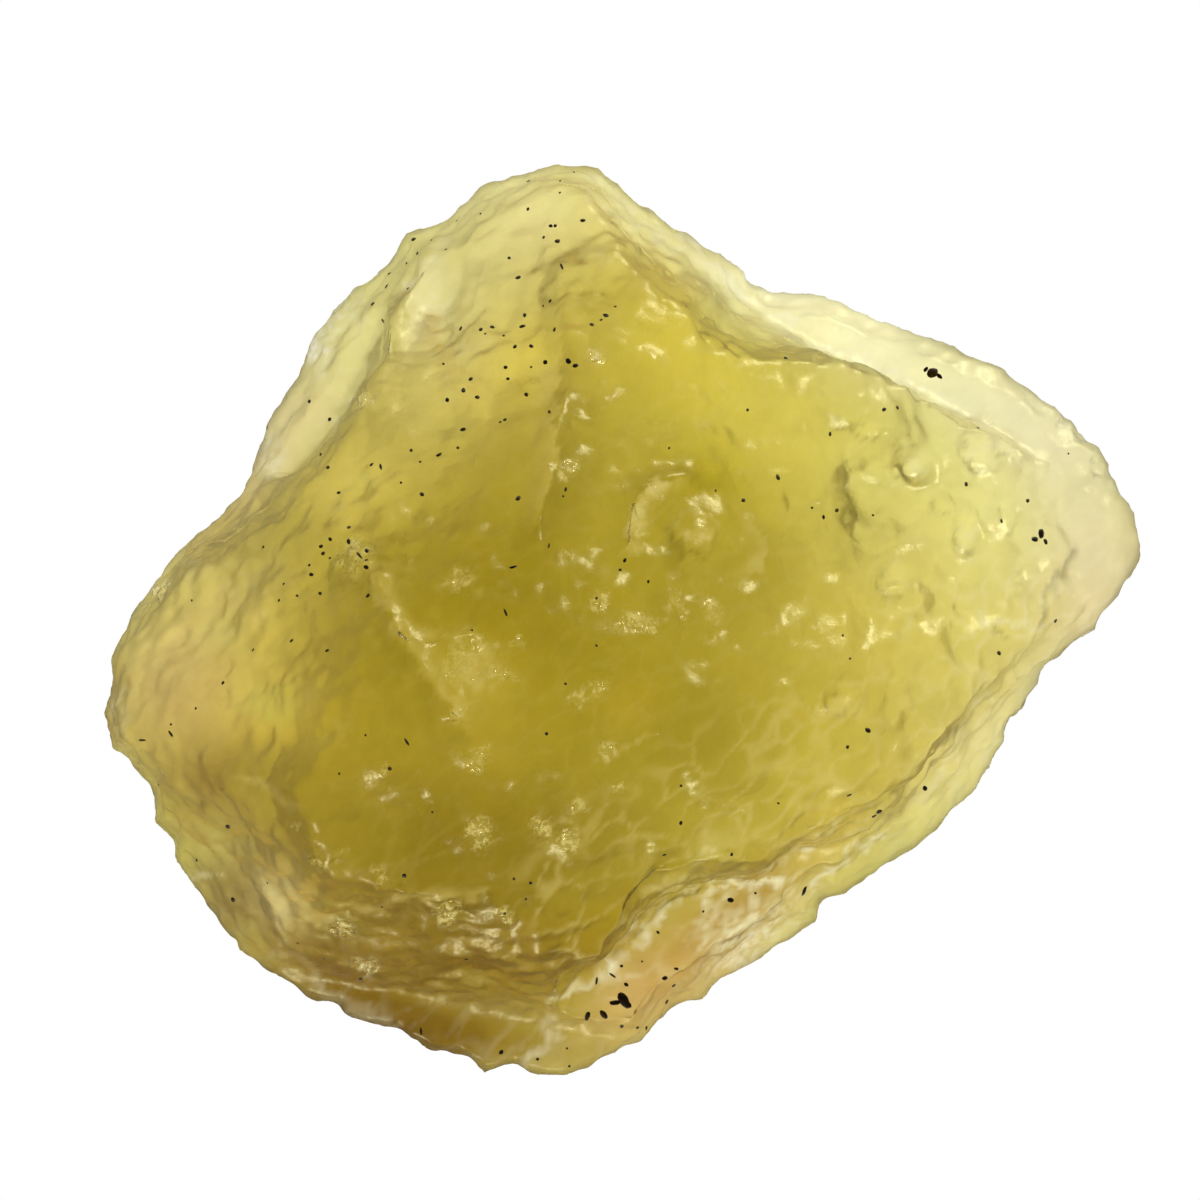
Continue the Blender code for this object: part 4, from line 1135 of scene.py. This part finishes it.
def add_floor():
    """A white light table: a clear pane that looks evenly white and lets the light from below through."""
    bpy.ops.mesh.primitive_plane_add(size=TABLE_SIZE * MM, location=(0.0, 0.0, -TABLE_GAP * MM))
    floor = bpy.context.object
    floor.name = "light_table"
    material, tree, surface = add_material("light_table")
    tree.nodes.remove(surface)
    glow = tree.nodes.new("ShaderNodeEmission").outputs["Emission"]
    clear = tree.nodes.new("ShaderNodeBsdfTransparent").outputs["BSDF"]
    seen_by_camera(tree, clear, glow, tree.nodes["Material Output"])
    floor.data.materials.append(material)


def add_lamps():
    """Soft square lamps aimed at the lump, which the camera doesn't see."""
    for name, (place, size, power) in LAMPS.items():
        light = bpy.data.lights.new(name, "AREA")
        light.energy = power
        light.size = size * MM
        lamp = link_object(name, light)
        lamp.location = Vector(place) * MM
        aim = Vector((0.0, 0.0, LAMP_AIM)) - Vector(place)
        lamp.rotation_euler = aim.to_track_quat("-Z", "Y").to_euler()
        lamp.visible_camera = False


def room_colour(tree, direction):
    """Brightness of the room by the height of a direction."""
    upward = add_node(tree, "ShaderNodeSeparateXYZ", Vector=direction).outputs["Z"]
    ramp = add_node(tree, "ShaderNodeValToRGB", Fac=ranged(tree, upward, (0.0, 1.0), (-1.0, 1.0)))
    for height, _ in ROOM_LIGHT[1:-1]:
        ramp.color_ramp.elements.new((height + 1.0) / 2.0)
    for stop, (_, glow) in zip(ramp.color_ramp.elements, ROOM_LIGHT):
        stop.color = (glow, glow, glow, 1.0)
    return ramp.outputs["Color"]


def room_strength(tree, direction):
    """Strength of the room's light: more from one side, and less in reflections."""
    side = add_sum(tree, "DOT_PRODUCT", direction, SIDE_LIGHT, kind="ShaderNodeVectorMath")
    strength = add_sum(tree, "MULTIPLY_ADD", side, ROOM_STRENGTH, ROOM_STRENGTH)
    reflected = tree.nodes.new("ShaderNodeLightPath").outputs["Is Reflection Ray"]
    return add_sum(tree, "MULTIPLY", strength, ranged(tree, reflected, (1.0, REFLECTED_SHARE)))


def add_world():
    """White behind all that the camera sees; else bright from below, and dim in reflections."""
    world = bpy.data.worlds.new("studio")
    world.use_nodes = True
    bpy.context.scene.world = world
    tree = world.node_tree
    direction = tree.nodes.new("ShaderNodeTexCoord").outputs["Generated"]
    room = tree.nodes["Background"]
    feed(tree, room.inputs["Color"], room_colour(tree, direction))
    feed(tree, room.inputs["Strength"], room_strength(tree, direction))
    white = add_node(tree, "ShaderNodeBackground", Strength=1.0)
    seen_by_camera(tree, room.outputs["Background"], white.outputs["Background"], tree.nodes["World Output"])


def add_camera():
    """A camera straight above, as far away as it takes to see the wanted width."""
    lens = bpy.data.cameras.new("camera")
    lens.lens = FOCAL_LENGTH
    lens.sensor_width = SENSOR_WIDTH
    camera = link_object("camera", lens)
    camera.location = Vector((*VIEW_MIDDLE, VIEW_HEIGHT + VIEW_WIDTH * FOCAL_LENGTH / SENSOR_WIDTH)) * MM
    bpy.context.scene.camera = camera


def set_up_render():
    """Plain colours, and enough bounces for light to get through the glass."""
    scene = bpy.context.scene
    scene.view_settings.view_transform = "Standard"
    scene.cycles.max_bounces = MOST_BOUNCES
    scene.cycles.transmission_bounces = GLASS_BOUNCES
    scene.cycles.glossy_bounces = GLOSS_BOUNCES
    scene.cycles.diffuse_bounces = MATT_BOUNCES


def main():
    glass = plain_glass()
    hollow, crest = carve(glass)
    glass.data.shade_smooth()
    paint(glass, hollow, crest)
    glass.data.materials.append(glass_material())
    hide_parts(NODE_NAME)
    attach(glass, "root")
    grains = add_grains(glass)
    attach(grains, "root")
    add_floor()
    add_lamps()
    add_world()
    add_camera()
    set_up_render()


main()
